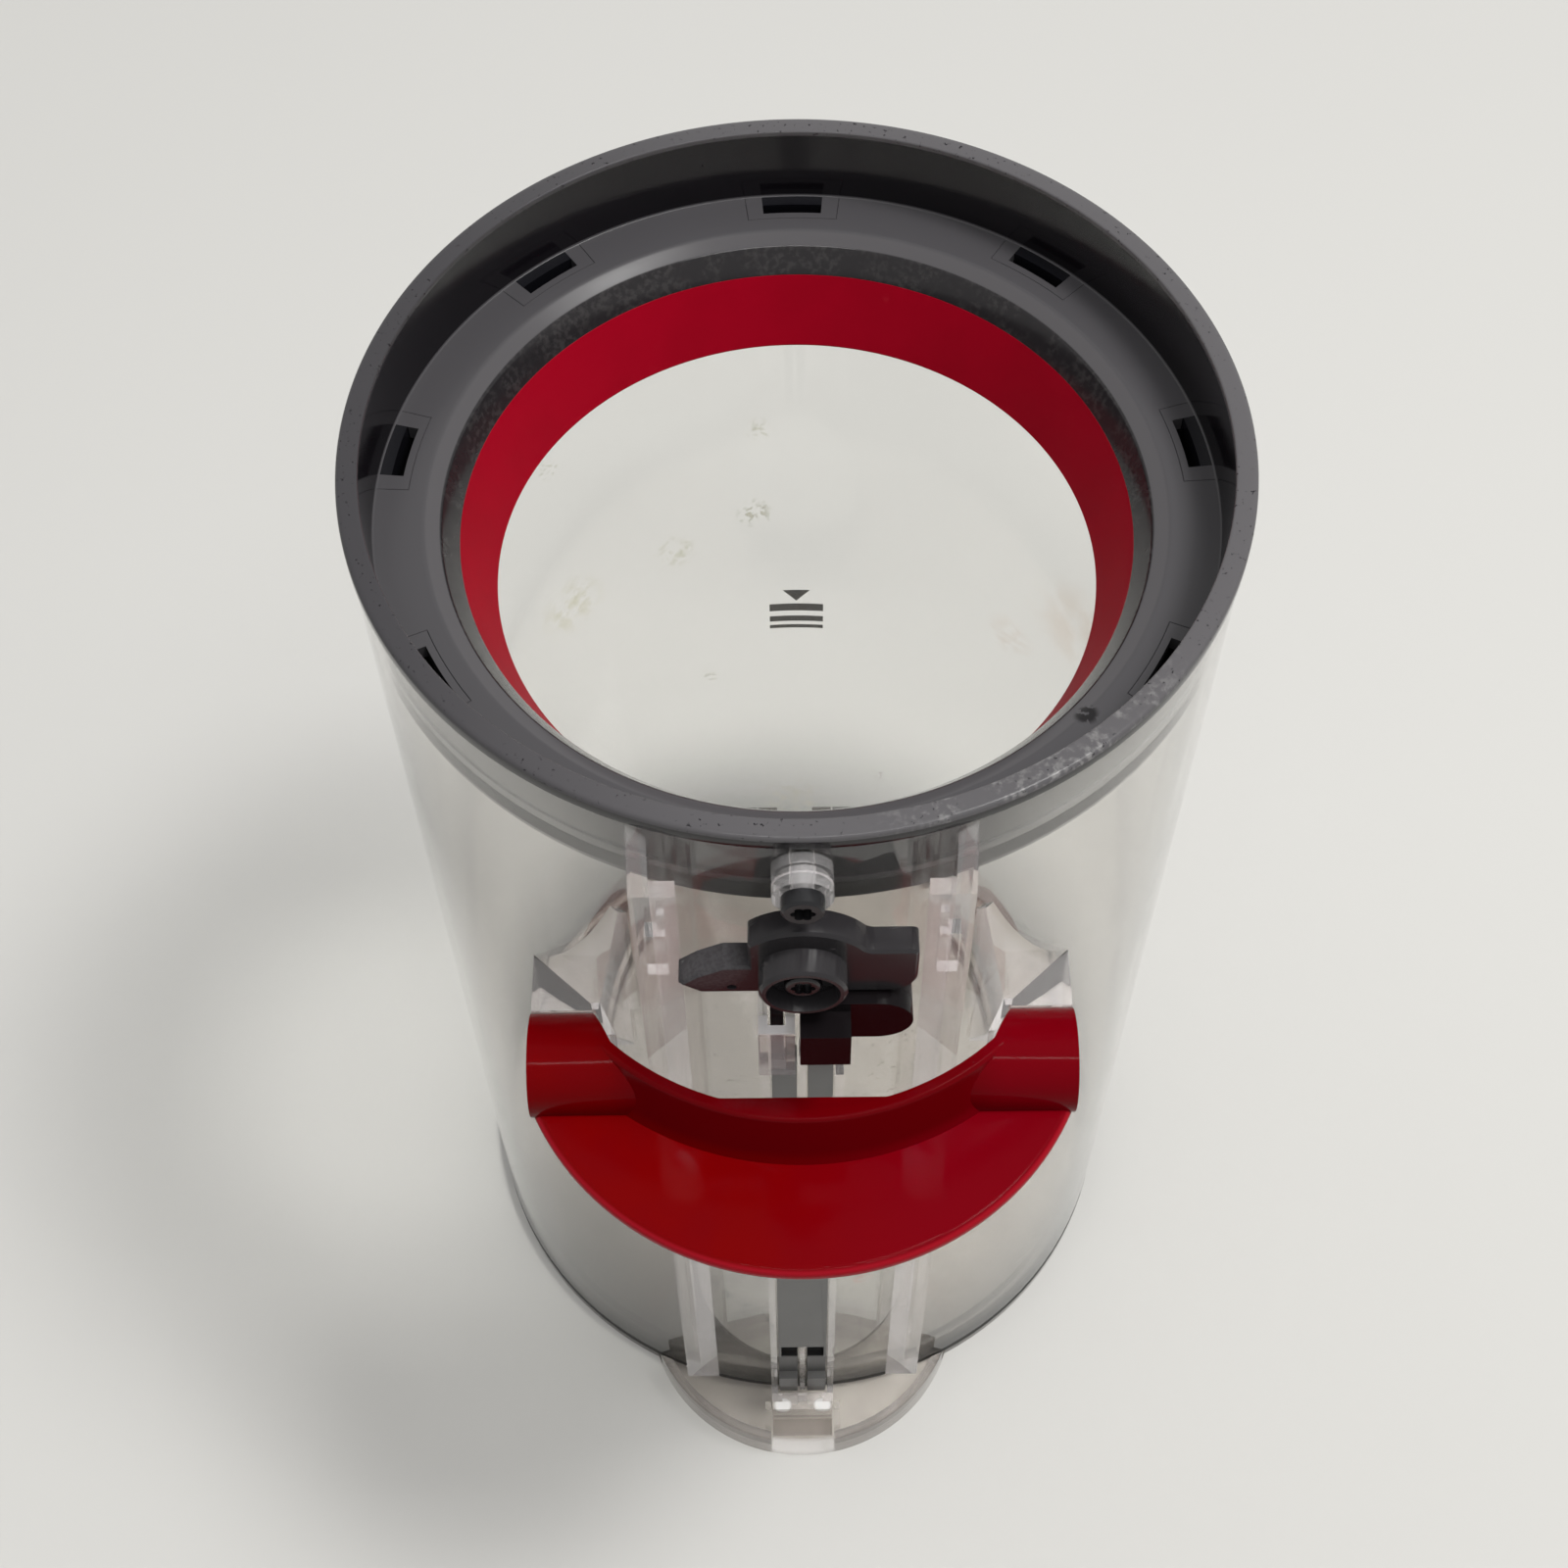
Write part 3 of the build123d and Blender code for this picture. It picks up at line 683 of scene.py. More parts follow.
@dataclass(frozen=True)
class CatchPlastic(ClearPlastic):
    """The catch's plastic, with painted highlights at its two upper corners and painted shade at its
    bend. Sizes in millimetres.

    Attributes:
        corners: The two upper corners, made milky as painted highlights where they catch the light.
        fold: Heights between which the catch bends into its foot.
        fold_shade_tint: Darker tint at that bend, painted shade.
    """

    # Painted highlights: the corners are milky white where the catch's rounded ends catch the light.
    corners: tuple[Patch, Patch] = (
        Patch((-3.6, -64.2, 9.6), 2.0, 0.5),
        Patch((3.6, -64.2, 9.6), 2.0, 0.5),
    )
    fold: Span = (2.5, 3.7)
    # Painted shade at the bend into the foot.
    fold_shade_tint: Colour = (0.45, 0.42, 0.40)

    def tinted(self, recipe: Recipe) -> Socket:
        """Colour of light that has passed the catch, darker at the bend as painted shade."""
        return recipe.mix(recipe.within(recipe.z, self.fold), self.tint, self.fold_shade_tint)

    def milky_parts(self, recipe: Recipe) -> Socket:
        """The two upper corners, milky as painted highlights."""
        return recipe.maths(Maths.MOST, *(recipe.spot(corner) for corner in self.corners))


@dataclass(frozen=True)
class Moulding:
    """Moulded plastic or rubber: slightly uneven colour, fine grain, rubbed or dusty patches.

    Attributes:
        name: The material's name.
        colour: Its main colour.
        shade: The colour that it drifts to in clouds.
        rubbed: Colour of rubbed or dusty patches.
        rubbed_share: How much of the surface they take.
        polish: Roughness where it is clean.
        dull: Roughness where it is rubbed.
        grain: Width of the surface's grain in millimetres.
        grain_depth: Height of that grain in millimetres.
        shine: Specular level.
        drift: The clouds of the shade.
        rubs: The rubbed patches at a share of 0.
        rubs_fall: How far a share of 1 lowers their noise levels.
    """

    name: str
    colour: Colour
    shade: Colour
    rubbed: Colour
    rubbed_share: float
    polish: float
    dull: float
    grain: float
    grain_depth: float
    shine: float = 0.5
    drift: Cloud = Cloud(9.0, 2.0, (0.35, 0.7))
    rubs: Cloud = Cloud(2.4, 8.0, (0.72, 0.84))
    rubs_fall: float = 0.3

    def make(self) -> Material:
        """Makes the material.

        Returns:
            The finished material.
        """
        recipe = Recipe(self.name)
        rubs = recipe.cloud(self.rubs.grown(self.rubs_fall * self.rubbed_share))
        plain = ((recipe.cloud(self.drift), self.shade), (rubs, self.rubbed))
        recipe.set(Base_Color=recipe.paint(self.colour, *plain, *self.layers(recipe)))
        recipe.set(Roughness=self.roughness(recipe, recipe.blend(rubs, self.polish, self.dull)))
        recipe.set(Specular_IOR_Level=self.shine)
        recipe.bump(recipe.noise(self.grain), self.grain_depth)
        return recipe.material

    def layers(self, recipe: Recipe) -> tuple[Layer, ...]:
        """Where each further colour of the piece is, and that colour."""
        return ()

    def roughness(self, recipe: Recipe, plain: Socket) -> Socket:
        """Roughness of the piece, given that of clean and rubbed parts."""
        return plain


@dataclass(frozen=True)
class CollarGrey(Moulding):
    """The collar's plastic: tops pale with dust and painted light, polished skirt behind the clear
    wall, scuffed rim.

    Sizes in millimetres.

    Attributes:
        ledge_z: Heights at which the ledge and the throat are full and gone.
        dusty: Colour of the ledge, pale with dust and painted light from above.
        ledge_dull: Roughness that the ledge's dust adds.
        chamfer_r: Radii at which the polished chamfer over the throat is full and gone.
        chamfer: Its colour, lighter as painted sheen.
        throat_r: Radii at which the throat is full and gone.
        throat: Colours of the throat and of its speckles.
        specks: The speckles.
        rim_z: Heights at which the rim's top begins and is full.
        rim: Colour of the rim's top to the right, pale with dust and painted light.
        rim_shade: Painted shade on the rim's top to the left.
        rim_shade_x: Places across at which that painted shade gives way to the paler top.
        pits: Bare pits in that dust.
        slots: Number of slots in the ledge.
        pocket_half: Half the angle of the painted shadow beside each slot, in degrees.
        pocket_r: Radii between which that painted shadow lies, beside its slot.
        pocket_shade: Colour of that painted shadow, which stands in for recesses beside the slots.
        skirt_r: The skirt's outside begins at this radius.
        skirt_z: The skirt ends at this height, under the rim.
        skirt_reflection: Painted reflection that makes the skirt look pale at the sides.
        skirt_front: Half width of the darker front of the skirt, and where the painted reflection has
            turned it pale.
        skirt_polish: Share of the plain roughness that the skirt has.
        scuff: The worn part of the rim.
        scratches: Fine scratches in it.
        silver: Its colour.
        patches: Large soft patches in which the collar is worn.
        stain: The ledge's dark stain.
        stain_edge: Its broken edge.
        stain_colour: Its colour.
    """

    ledge_z: Span = (191.1, 191.35)
    # Dust and painted light: the ledge's top is paler than the walls.
    dusty: Colour = (0.060, 0.0575, 0.062)
    ledge_dull: float = 0.12
    chamfer_r: Span = (48.5, 48.9)
    # Painted sheen: the chamfer is lighter than the ledge for the gloss it shows.
    chamfer: Colour = (0.076, 0.0725, 0.077)
    throat_r: Span = (46.8, 47.0)
    throat: tuple[Colour, Colour] = ((0.016, 0.0145, 0.016), (0.034, 0.0315, 0.0325))
    specks: Cloud = Cloud(0.8, 6.0, (0.42, 0.66))
    rim_z: Span = (202.1, 202.4)
    rim: Colour = (0.090, 0.086, 0.091)
    rim_shade: Colour = (0.040, 0.038, 0.042)
    rim_shade_x: Span = (-58.0, 5.0)
    pits: Cloud = Cloud(0.7, 5.0, (0.62, 0.68))
    slots: int = 9
    pocket_half: float = 4.5
    pocket_r: Span = (53.7, 55.4)
    pocket_shade: Colour = (0.006, 0.006, 0.008)
    skirt_r: float = 56.0
    skirt_z: float = 197.3
    skirt_reflection: Colour = (0.34, 0.345, 0.34)
    skirt_front: Span = (16.0, 34.0)
    skirt_polish: float = 0.4
    scuff: Patch = Patch((29.0, -48.4, 203.0), 26.0)
    scratches: Cloud = Cloud(0.9, 8.0, (0.44, 0.70))
    silver: Colour = (0.20, 0.195, 0.195)
    patches: Cloud = Cloud(5.0, 3.0, (0.36, 0.58))
    stain: Patch = Patch((35.5, -33.8, 190.9), 1.9, 0.5)
    stain_edge: Cloud = Cloud(1.0, 3.0, (0.4, 0.5))
    stain_colour: Colour = (0.008, 0.007, 0.008)

    def layers(self, recipe: Recipe) -> tuple[Layer, ...]:
        """Lays ledge, chamfer sheen, throat, rim with its shaded left, shadowed pockets, skirt
        reflection, scuffs and stain.

        Args:
            recipe: The material so far.

        Returns:
            Where each of them is, and its colour.
        """
        patches = recipe.cloud(self.patches)
        specks = recipe.times(recipe.cloud(self.specks), patches)
        pits = recipe.times(recipe.cloud(self.pits), patches)
        # Painted shade: the rim's top is darker to the left, paler to the right with dust and painted
        # light.
        dust = recipe.span(recipe.x, self.rim_shade_x)
        high = recipe.span(recipe.z, self.rim_z)
        # Painted reflection: the skirt's sides are paled for what the clear wall in front reflects.
        pale = recipe.times(self.skirt(recipe), recipe.span(recipe.width(), self.skirt_front))
        scuffs = recipe.times(recipe.spot(self.scuff), patches, recipe.cloud(self.scratches), high)
        return (
            (self.ledge(recipe), self.dusty),
            (self.polished(recipe), self.chamfer),
            (recipe.span(recipe.radius(), self.throat_r, 1.0, 0.0), recipe.mix(specks, *self.throat)),
            (high, recipe.paint(self.rim_shade, (dust, self.rim), (pits, self.colour))),
            (self.pockets(recipe), self.pocket_shade),
            (pale, self.skirt_reflection),
            (scuffs, self.silver),
            (recipe.times(recipe.spot(self.stain), recipe.cloud(self.stain_edge)), self.stain_colour),
        )

    def roughness(self, recipe: Recipe, plain: Socket) -> Socket:
        """Makes the skirt smoother, and the ledge outside the chamfer duller.

        Args:
            recipe: The material so far.
            plain: Roughness of clean and rubbed parts.

        Returns:
            The roughness over the collar.
        """
        skirt = recipe.blend(self.skirt(recipe), 1.0, self.skirt_polish)
        dusty = recipe.maths(Maths.TAKE, self.ledge(recipe), self.polished(recipe))
        dust = recipe.blend(dusty, 0.0, self.ledge_dull)
        return recipe.maths(Maths.ADD, recipe.times(plain, skirt), dust)

    def ledge(self, recipe: Recipe) -> Socket:
        """1 on the ledge and the throat."""
        return recipe.span(recipe.z, self.ledge_z, 1.0, 0.0)

    def polished(self, recipe: Recipe) -> Socket:
        """1 on the chamfer and the throat."""
        return recipe.span(recipe.radius(), self.chamfer_r, 1.0, 0.0)

    def skirt(self, recipe: Recipe) -> Socket:
        """1 on the skirt's outside."""
        outside = recipe.beyond(recipe.radius(), self.skirt_r)
        return recipe.times(outside, recipe.before(recipe.z, self.skirt_z))

    def pockets(self, recipe: Recipe) -> Socket:
        """1 where painted shadow stands in for recesses beside the slots, and 0 elsewhere.

        Args:
            recipe: The material so far.

        Returns:
            A product of tests on height, on angle from the nearest slot and on radius.
        """
        # Painted shadow: the flat ledge beside each slot is painted near black for a recess that is
        # not modelled.
        turn = recipe.maths(Maths.TAKE, recipe.maths(Maths.TURN, recipe.y, recipe.x), math.pi / 2)
        off = recipe.maths(Maths.FOLD, turn, math.pi / self.slots)
        beside = recipe.maths(Maths.OVER, math.radians(self.pocket_half), off)
        return recipe.times(self.ledge(recipe), beside, recipe.within(recipe.radius(), self.pocket_r))


@dataclass(frozen=True)
class WiperRed(Moulding):
    """The wiper's rubber: red on the cone, near black on the flange under the collar.

    Attributes:
        flange_r: Radii at which the flange begins and is full, in millimetres.
        flange_black: Colour of the flange.
    """

    flange_r: Span = (47.5, 48.1)
    flange_black: Colour = (0.006, 0.006, 0.006)

    def layers(self, recipe: Recipe) -> tuple[Layer, ...]:
        """The flange's near-black colour."""
        return ((recipe.span(recipe.radius(), self.flange_r), self.flange_black),)


@dataclass(frozen=True)
class HandleRed(Moulding):
    """The handle's red, a little bluer to the right, with a painted highlight on the crescent's edge
    and painted shade on its arch.

    Sizes in millimetres.

    Attributes:
        blue: Colour on the right.
        blue_x: Places across at which it begins and is full.
        crescent_y: Place of the crescent's axis along Y.
        edge_r: Radii about that axis at which the painted highlight on the crescent's edge begins and
            is full.
        edge_y: The painted highlight is in front of this place along Y.
        edge: Colour of that painted highlight.
        bow_shade: Colour of the painted shade on the arch's wall between the round ends.
        bow_z: Heights at which that colour begins and is full.
        bow_x: Places out from the middle at which it begins to fade and has faded.
        bow_ends: Share of it that is left there.
    """

    blue: Colour = (0.158, 0.0002, 0.0040)
    blue_x: Span = (-12.0, 22.0)
    crescent_y: float = -50.0
    edge_r: Span = (38.75, 39.25)
    edge_y: float = -67.2
    # Painted highlight: a bright line along the crescent's outer edge.
    edge: Colour = (0.30, 0.006, 0.014)
    # Painted shade: the arch's front wall between the round ends is darker.
    bow_shade: Colour = (0.112, 0.0002, 0.0018)
    bow_z: Span = (146.4, 148.4)
    bow_x: Span = (20.0, 27.0)
    bow_ends: float = 0.2

    def layers(self, recipe: Recipe) -> tuple[Layer, ...]:
        """Lays the bluer right, the painted highlight on the crescent's edge and the painted shade on
        the arch over each other.

        Args:
            recipe: The material so far.

        Returns:
            Where each of them is, and its colour.
        """
        rim = recipe.span(recipe.radius(self.crescent_y), self.edge_r)
        middle = recipe.span(recipe.width(), self.bow_x, 1.0, self.bow_ends)
        return (
            (recipe.span(recipe.x, self.blue_x), self.blue),
            (recipe.times(rim, recipe.before(recipe.y, self.edge_y)), self.edge),
            (recipe.times(recipe.span(recipe.z, self.bow_z), middle), self.bow_shade),
        )


@dataclass(frozen=True)
class LeverGrey(Moulding):
    """The lever's plastic, pale on its beak with wear and painted light.

    Attributes:
        beak: The pale part.
        worn: Its colour, both wear and painted light.
        scuffs: Clouds in which it is palest.
        least: How pale it is between them.
    """

    beak: Patch = Patch((-11.7, -63.5, 181.6), 6.5, 0.5)
    # Wear and painted light: the beak's top is paler.
    worn: Colour = (0.055, 0.052, 0.056)
    scuffs: Cloud = Cloud(0.5, 4.0, (0.34, 0.62))
    least: float = 0.6

    def layers(self, recipe: Recipe) -> tuple[Layer, ...]:
        """The beak's wear and painted light."""
        scuffs = recipe.cloud(self.scuffs, self.least)
        return ((recipe.times(recipe.spot(self.beak), scuffs), self.worn),)


@dataclass(frozen=True)
class FlapGrey(Moulding):
    """The flap's rubber: dusty where it lies over the inlet, dark towards its hinge.

    Attributes:
        dark_y: Places along Y at which the dark part begins and is full, in millimetres.
        dark: Its colour.
    """

    dark_y: Span = (-26.0, -18.0)
    dark: Colour = (0.045, 0.042, 0.040)

    def layers(self, recipe: Recipe) -> tuple[Layer, ...]:
        """The dark part."""
        return ((recipe.span(recipe.y, self.dark_y), self.dark),)


@dataclass(frozen=True)
class RodGrey(Moulding):
    """The push rod's plastic, with painted shadow in the pockets above its prongs and painted shade on
    the prongs. Sizes in millimetres.

    Attributes:
        pocket_x: The pockets' edges to either side of the middle.
        pocket_z: The pockets' lower and upper ends.
        pocket_shade: Painted shadow in the pockets.
        prong_shade: Painted shade on the prongs, which are below the pockets.
    """

    pocket_x: Span = (0.85, 3.7)
    pocket_z: Span = (27.1, 32.3)
    pocket_shade: Colour = (0.004, 0.004, 0.004)
    prong_shade: Colour = (0.062, 0.061, 0.060)

    def layers(self, recipe: Recipe) -> tuple[Layer, ...]:
        """Lays the painted shade on the prongs and the painted shadow in the pockets over each other.

        Args:
            recipe: The material so far.

        Returns:
            Where each of them is, and its colour.
        """
        # Painted shade on the prongs, and painted shadow in the pockets above them.
        across = recipe.within(recipe.width(), self.pocket_x)
        pockets = recipe.times(across, recipe.within(recipe.z, self.pocket_z))
        return (recipe.before(recipe.z, self.pocket_z[0]), self.prong_shade), (pockets, self.pocket_shade)


@dataclass(frozen=True)
class Steel:
    """Bare or blacked steel with fine turning marks.

    Attributes:
        name: The material's name.
        colour: Its main colour.
        shade: The colour that it drifts to in clouds.
        polish: Roughness where it is clean.
        metal: How metallic it is.
        clouds: Clouds in which it is dull.
        dulled: Roughness that they add.
        mark: Width of the turning marks in millimetres.
        mark_run: How much narrower they are along each axis.
        mark_depth: Their depth in millimetres.
    """

    name: str
    colour: Colour
    shade: Colour
    polish: float
    metal: float = 1.0
    clouds: Cloud = Cloud(1.5, 4.0, (0.3, 0.7))
    dulled: float = 0.12
    mark: float = 0.12
    mark_run: Point = (0.1, 1.0, 1.0)
    mark_depth: float = 0.004

    def make(self) -> Material:
        """Makes the material.

        Returns:
            The finished material.
        """
        recipe = Recipe(self.name)
        drift = recipe.noise(self.clouds.size, self.clouds.detail)
        recipe.set(Base_Color=recipe.mix(drift, self.colour, self.shade), Metallic=self.metal)
        dull = self.polish + self.dulled
        recipe.set(Roughness=recipe.ramp(drift, self.clouds.ends, self.polish, dull))
        recipe.bump(recipe.noise(self.mark, stretch=self.mark_run), self.mark_depth)
        return recipe.material


WALL_STAINS = (
    Stain((-6.6, 56.3, 116.3), 4.0, (0.50, 0.49, 0.38), 1.3, 0.35),
    Stain((-5.4, 56.4, 138.0), 3.0, (0.74, 0.73, 0.62), 1.2, 0.5),
    Stain((-20.2, 53.0, 110.0), 5.0, (0.80, 0.79, 0.68), 1.8, 0.5),
    Stain((-37.5, 42.5, 109.0), 8.0, (0.86, 0.84, 0.72), 2.4, 0.6),
    Stain((-38.3, 41.8, 146.5), 3.0, (0.70, 0.70, 0.58), 1.0, 0.4),
    Stain((-15.6, 54.5, 70.3), 2.5, (0.72, 0.71, 0.64), 0.9, 0.4),
    Stain((46.8, 32.0, 113.8), 14.0, (0.92, 0.87, 0.82), 6.0, 0.9),
    Stain((37.2, 42.8, 98.6), 6.0, (0.90, 0.84, 0.79), 3.0, 0.7),
    Stain((16.3, 54.3, 35.5), 2.4, (0.55, 0.53, 0.50), 0.8, 0.4),
    Stain((0.0, 57.2, 22.5), 9.0, (0.60, 0.59, 0.54), 2.0, 0.5),
    Stain((0.0, -57.5, 125.0), 50.0, (0.42, 0.40, 0.37), 0.9, -0.2),
    Stain((10.0, -57.3, 56.0), 2.4, (0.90, 0.50, 0.45), 1.2, 0.9),
)
CLEAR = ShellPlastic(name="clear_plastic", stains=WALL_STAINS)
CLEAR_LID = LidPlastic(
    name="clear_lid",
    tint=(0.62, 0.59, 0.565),
    milk=(0.76, 0.745, 0.74),
    clear=0.95,
    milky=0.75,
    polish=0.06,
    haze=0.16,
)
CLEAR_CATCH = CatchPlastic(
    name="clear_catch",
    tint=(0.88, 0.855, 0.835),
    milk=(1.0, 1.0, 1.0),
    clear=0.86,
    milky=0.35,
    polish=0.06,
    haze=0.16,
)
COLLAR_GREY = CollarGrey(
    name="collar_grey",
    colour=(0.0070, 0.0060, 0.0080),
    shade=(0.0060, 0.0052, 0.0068),
    rubbed=(0.018, 0.0168, 0.0185),
    rubbed_share=0.1,
    polish=0.13,
    dull=0.22,
    grain=0.4,
    grain_depth=0.0005,
    shine=0.35,
)
LEVER_GREY = LeverGrey(
    name="lever_grey",
    colour=(0.020, 0.0185, 0.0205),
    shade=(0.025, 0.023, 0.025),
    rubbed=(0.045, 0.042, 0.044),
    rubbed_share=0.15,
    polish=0.20,
    dull=0.28,
    grain=0.2,
    grain_depth=0.002,
    shine=0.30,
)
HEAD_GREY = Moulding(
    name="head_grey",
    colour=(0.0055, 0.0040, 0.0048),
    shade=(0.0075, 0.0060, 0.0068),
    rubbed=(0.022, 0.020, 0.021),
    rubbed_share=0.10,
    polish=0.14,
    dull=0.22,
    grain=0.2,
    grain_depth=0.002,
    shine=0.12,
)
ROD_GREY = RodGrey(
    name="rod_grey",
    colour=(0.115, 0.115, 0.112),
    shade=(0.105, 0.105, 0.103),
    rubbed=(0.15, 0.15, 0.145),
    rubbed_share=0.1,
    polish=0.4,
    dull=0.5,
    grain=0.25,
    grain_depth=0.004,
)
RED_GLOSS = HandleRed(
    name="red_gloss",
    colour=(0.155, 0.0002, 0.0007),
    shade=(0.146, 0.0002, 0.0014),
    rubbed=(0.20, 0.003, 0.006),
    rubbed_share=0.05,
    polish=0.10,
    dull=0.18,
    grain=0.5,
    grain_depth=0.0015,
    shine=0.045,
)
RED_RUBBER = WiperRed(
    name="red_rubber",
    colour=(0.30, 0.0004, 0.011),
    shade=(0.28, 0.0004, 0.010),
    rubbed=(0.31, 0.006, 0.016),
    rubbed_share=0.10,
    polish=0.6,
    dull=0.75,
    grain=0.3,
    grain_depth=0.008,
    shine=0.05,
)
BLACK_RUBBER = Moulding(
    name="black_rubber",
    colour=(0.018, 0.018, 0.018),
    shade=(0.024, 0.023, 0.022),
    rubbed=(0.05, 0.048, 0.044),
    rubbed_share=0.2,
    polish=0.55,
    dull=0.75,
    grain=0.3,
    grain_depth=0.01,
    shine=0.3,
)
DUSTY_RUBBER = FlapGrey(
    name="dusty_rubber",
    colour=(0.40, 0.39, 0.36),
    shade=(0.31, 0.295, 0.285),
    rubbed=(0.25, 0.24, 0.235),
    rubbed_share=0.45,
    polish=0.7,
    dull=0.85,
    grain=0.3,
    grain_depth=0.01,
    shine=0.1,
)
INK = Moulding(
    name="fill_mark_ink",
    colour=(0.016, 0.017, 0.016),
    shade=(0.022, 0.023, 0.022),
    rubbed=(0.10, 0.10, 0.09),
    rubbed_share=0.08,
    polish=0.45,
    dull=0.6,
    grain=0.15,
    grain_depth=0.002,
)
BLACK_STEEL = Steel("black_steel", (0.018, 0.018, 0.02), (0.03, 0.03, 0.032), 0.28, 0.6)
DEEP_STEEL = Steel("deep_steel", (0.006, 0.005, 0.006), (0.012, 0.010, 0.012), 0.22, 0.2)
BARE_STEEL = Steel("bare_steel", (0.55, 0.54, 0.52), (0.42, 0.41, 0.40), 0.25)


# Meshes


def grid_quads(rows: int, columns: int, round_rows: bool, round_columns: bool) -> np.ndarray:
    """Quads of a grid of points, numbered row by row.

    Args:
        rows: Points along the first direction.
        columns: Points along the second direction.
        round_rows: True where the last row joins the first.
        round_columns: True where the last column joins the first.

    Returns:
        Four point numbers for each quad.
    """
    i, j = np.meshgrid(
        np.arange(rows if round_rows else rows - 1),
        np.arange(columns if round_columns else columns - 1),
        indexing="ij",
    )
    down, along = (i + 1) % rows, (j + 1) % columns
    corners = (i * columns + j, down * columns + j, down * columns + along, i * columns + along)
    return np.stack(corners, axis=-1).reshape(-1, 4)


def rounded_outline(corners: np.ndarray, radius: np.ndarray, steps: int) -> np.ndarray:
    """A closed outline whose corners are rounded.

    Each corner c with unit directions u and v to its neighbours becomes the curve
    (1-t)^2 (c + ku) + 2t(1-t) c + t^2 (c + kv), with k the corner's radius.

    Args:
        corners: Corner points, one per row.
        radius: How far back each corner is cut.
        steps: Points on each corner's curve.

    Returns:
        Points of shape (corners, steps, 2).
    """
    before = np.roll(corners, 1, axis=0) - corners
    after = np.roll(corners, -1, axis=0) - corners
    before /= np.linalg.norm(before, axis=1, keepdims=True)
    after /= np.linalg.norm(after, axis=1, keepdims=True)
    t = np.linspace(0.0, 1.0, steps)[None, :, None]
    cut = np.asarray(radius, float)[:, None, None]
    corner = corners[:, None, :]
    start, end = corner + cut * before[:, None, :], corner + cut * after[:, None, :]
    return (1 - t) ** 2 * start + 2 * t * (1 - t) * corner + t**2 * end


def turned_points(outline: np.ndarray, angles: np.ndarray) -> np.ndarray:
    """An (r, z) outline turned about the bin's axis: (r cos a, r sin a, z).

    Args:
        outline: Points (r, z) in millimetres.
        angles: Angles in degrees.

    Returns:
        Points of shape (angles, outline, 3).
    """
    turn = np.radians(angles)[:, None]
    r, z = outline[None, :, 0], outline[None, :, 1]
    return np.stack([r * np.cos(turn), r * np.sin(turn), z + 0.0 * turn], axis=-1)


def add_piece(
    name: str, points: np.ndarray, quads: np.ndarray, finish: Material, body: Body
) -> bpy.types.Object:
    """A finished mesh piece that rides on a body.

    Args:
        name: The piece's name.
        points: Points in millimetres, of any shape that ends in 3.
        quads: Point numbers of its faces.
        finish: Its material.
        body: The body that carries it.

    Returns:
        The new object.
    """
    mesh = bpy.data.meshes.new(name)
    mesh.from_pydata((points.reshape(-1, 3) * MM).tolist(), [], quads.tolist())
    tidy = bmesh.new()
    tidy.from_mesh(mesh)
    bmesh.ops.remove_doubles(tidy, verts=tidy.verts, dist=MERGE)
    bmesh.ops.dissolve_degenerate(tidy, edges=tidy.edges, dist=SPECK)
    bmesh.ops.recalc_face_normals(tidy, faces=tidy.faces)
    tidy.to_mesh(mesh)
    tidy.free()
    mesh.polygons.foreach_set("use_smooth", np.ones(len(mesh.polygons), bool))
    mesh.set_sharp_from_angle(angle=math.radians(SHARP_DEGREES))
    mesh.materials.append(finish)
    piece = bpy.data.objects.new(name, mesh)
    bpy.context.scene.collection.objects.link(piece)
    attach(piece, body.value)
    LOG.info("%s: %d faces on %s", name, len(mesh.polygons), body.value)
    return piece


def dress(frame: dict, finishes: dict[str, Material]) -> None:
    """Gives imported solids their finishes.

    Args:
        frame: The loaded frame.
        finishes: Material of each solid, by name.
    """
    for node, finish in finishes.items():
        solid = frame["nodes"][node]
        solid.data.materials.clear()
        solid.data.materials.append(finish)
        LOG.info("%s: %s", node, finish.name)


def soften(frame: dict, widths: dict[str, float]) -> None:
    """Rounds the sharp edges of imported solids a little, so that they catch the light.

    Args:
        frame: The loaded frame.
        widths: Width of the rounded edges of each solid in millimetres.
    """
    for node, width in widths.items():
        solid = frame["nodes"][node]
        weld = solid.modifiers.new("weld", "WELD")
        weld.merge_threshold = 1e-6
        bevel = solid.modifiers.new("bevel", "BEVEL")
        bevel.width = width * MM
        bevel.segments = 2
        bevel.limit_method = "ANGLE"
        bevel.angle_limit = math.radians(40.0)
        bevel.use_clamp_overlap = True
        bevel.harden_normals = True
        LOG.info("%s: edges rounded to %.2f mm", node, width)


# Sub-assemblies


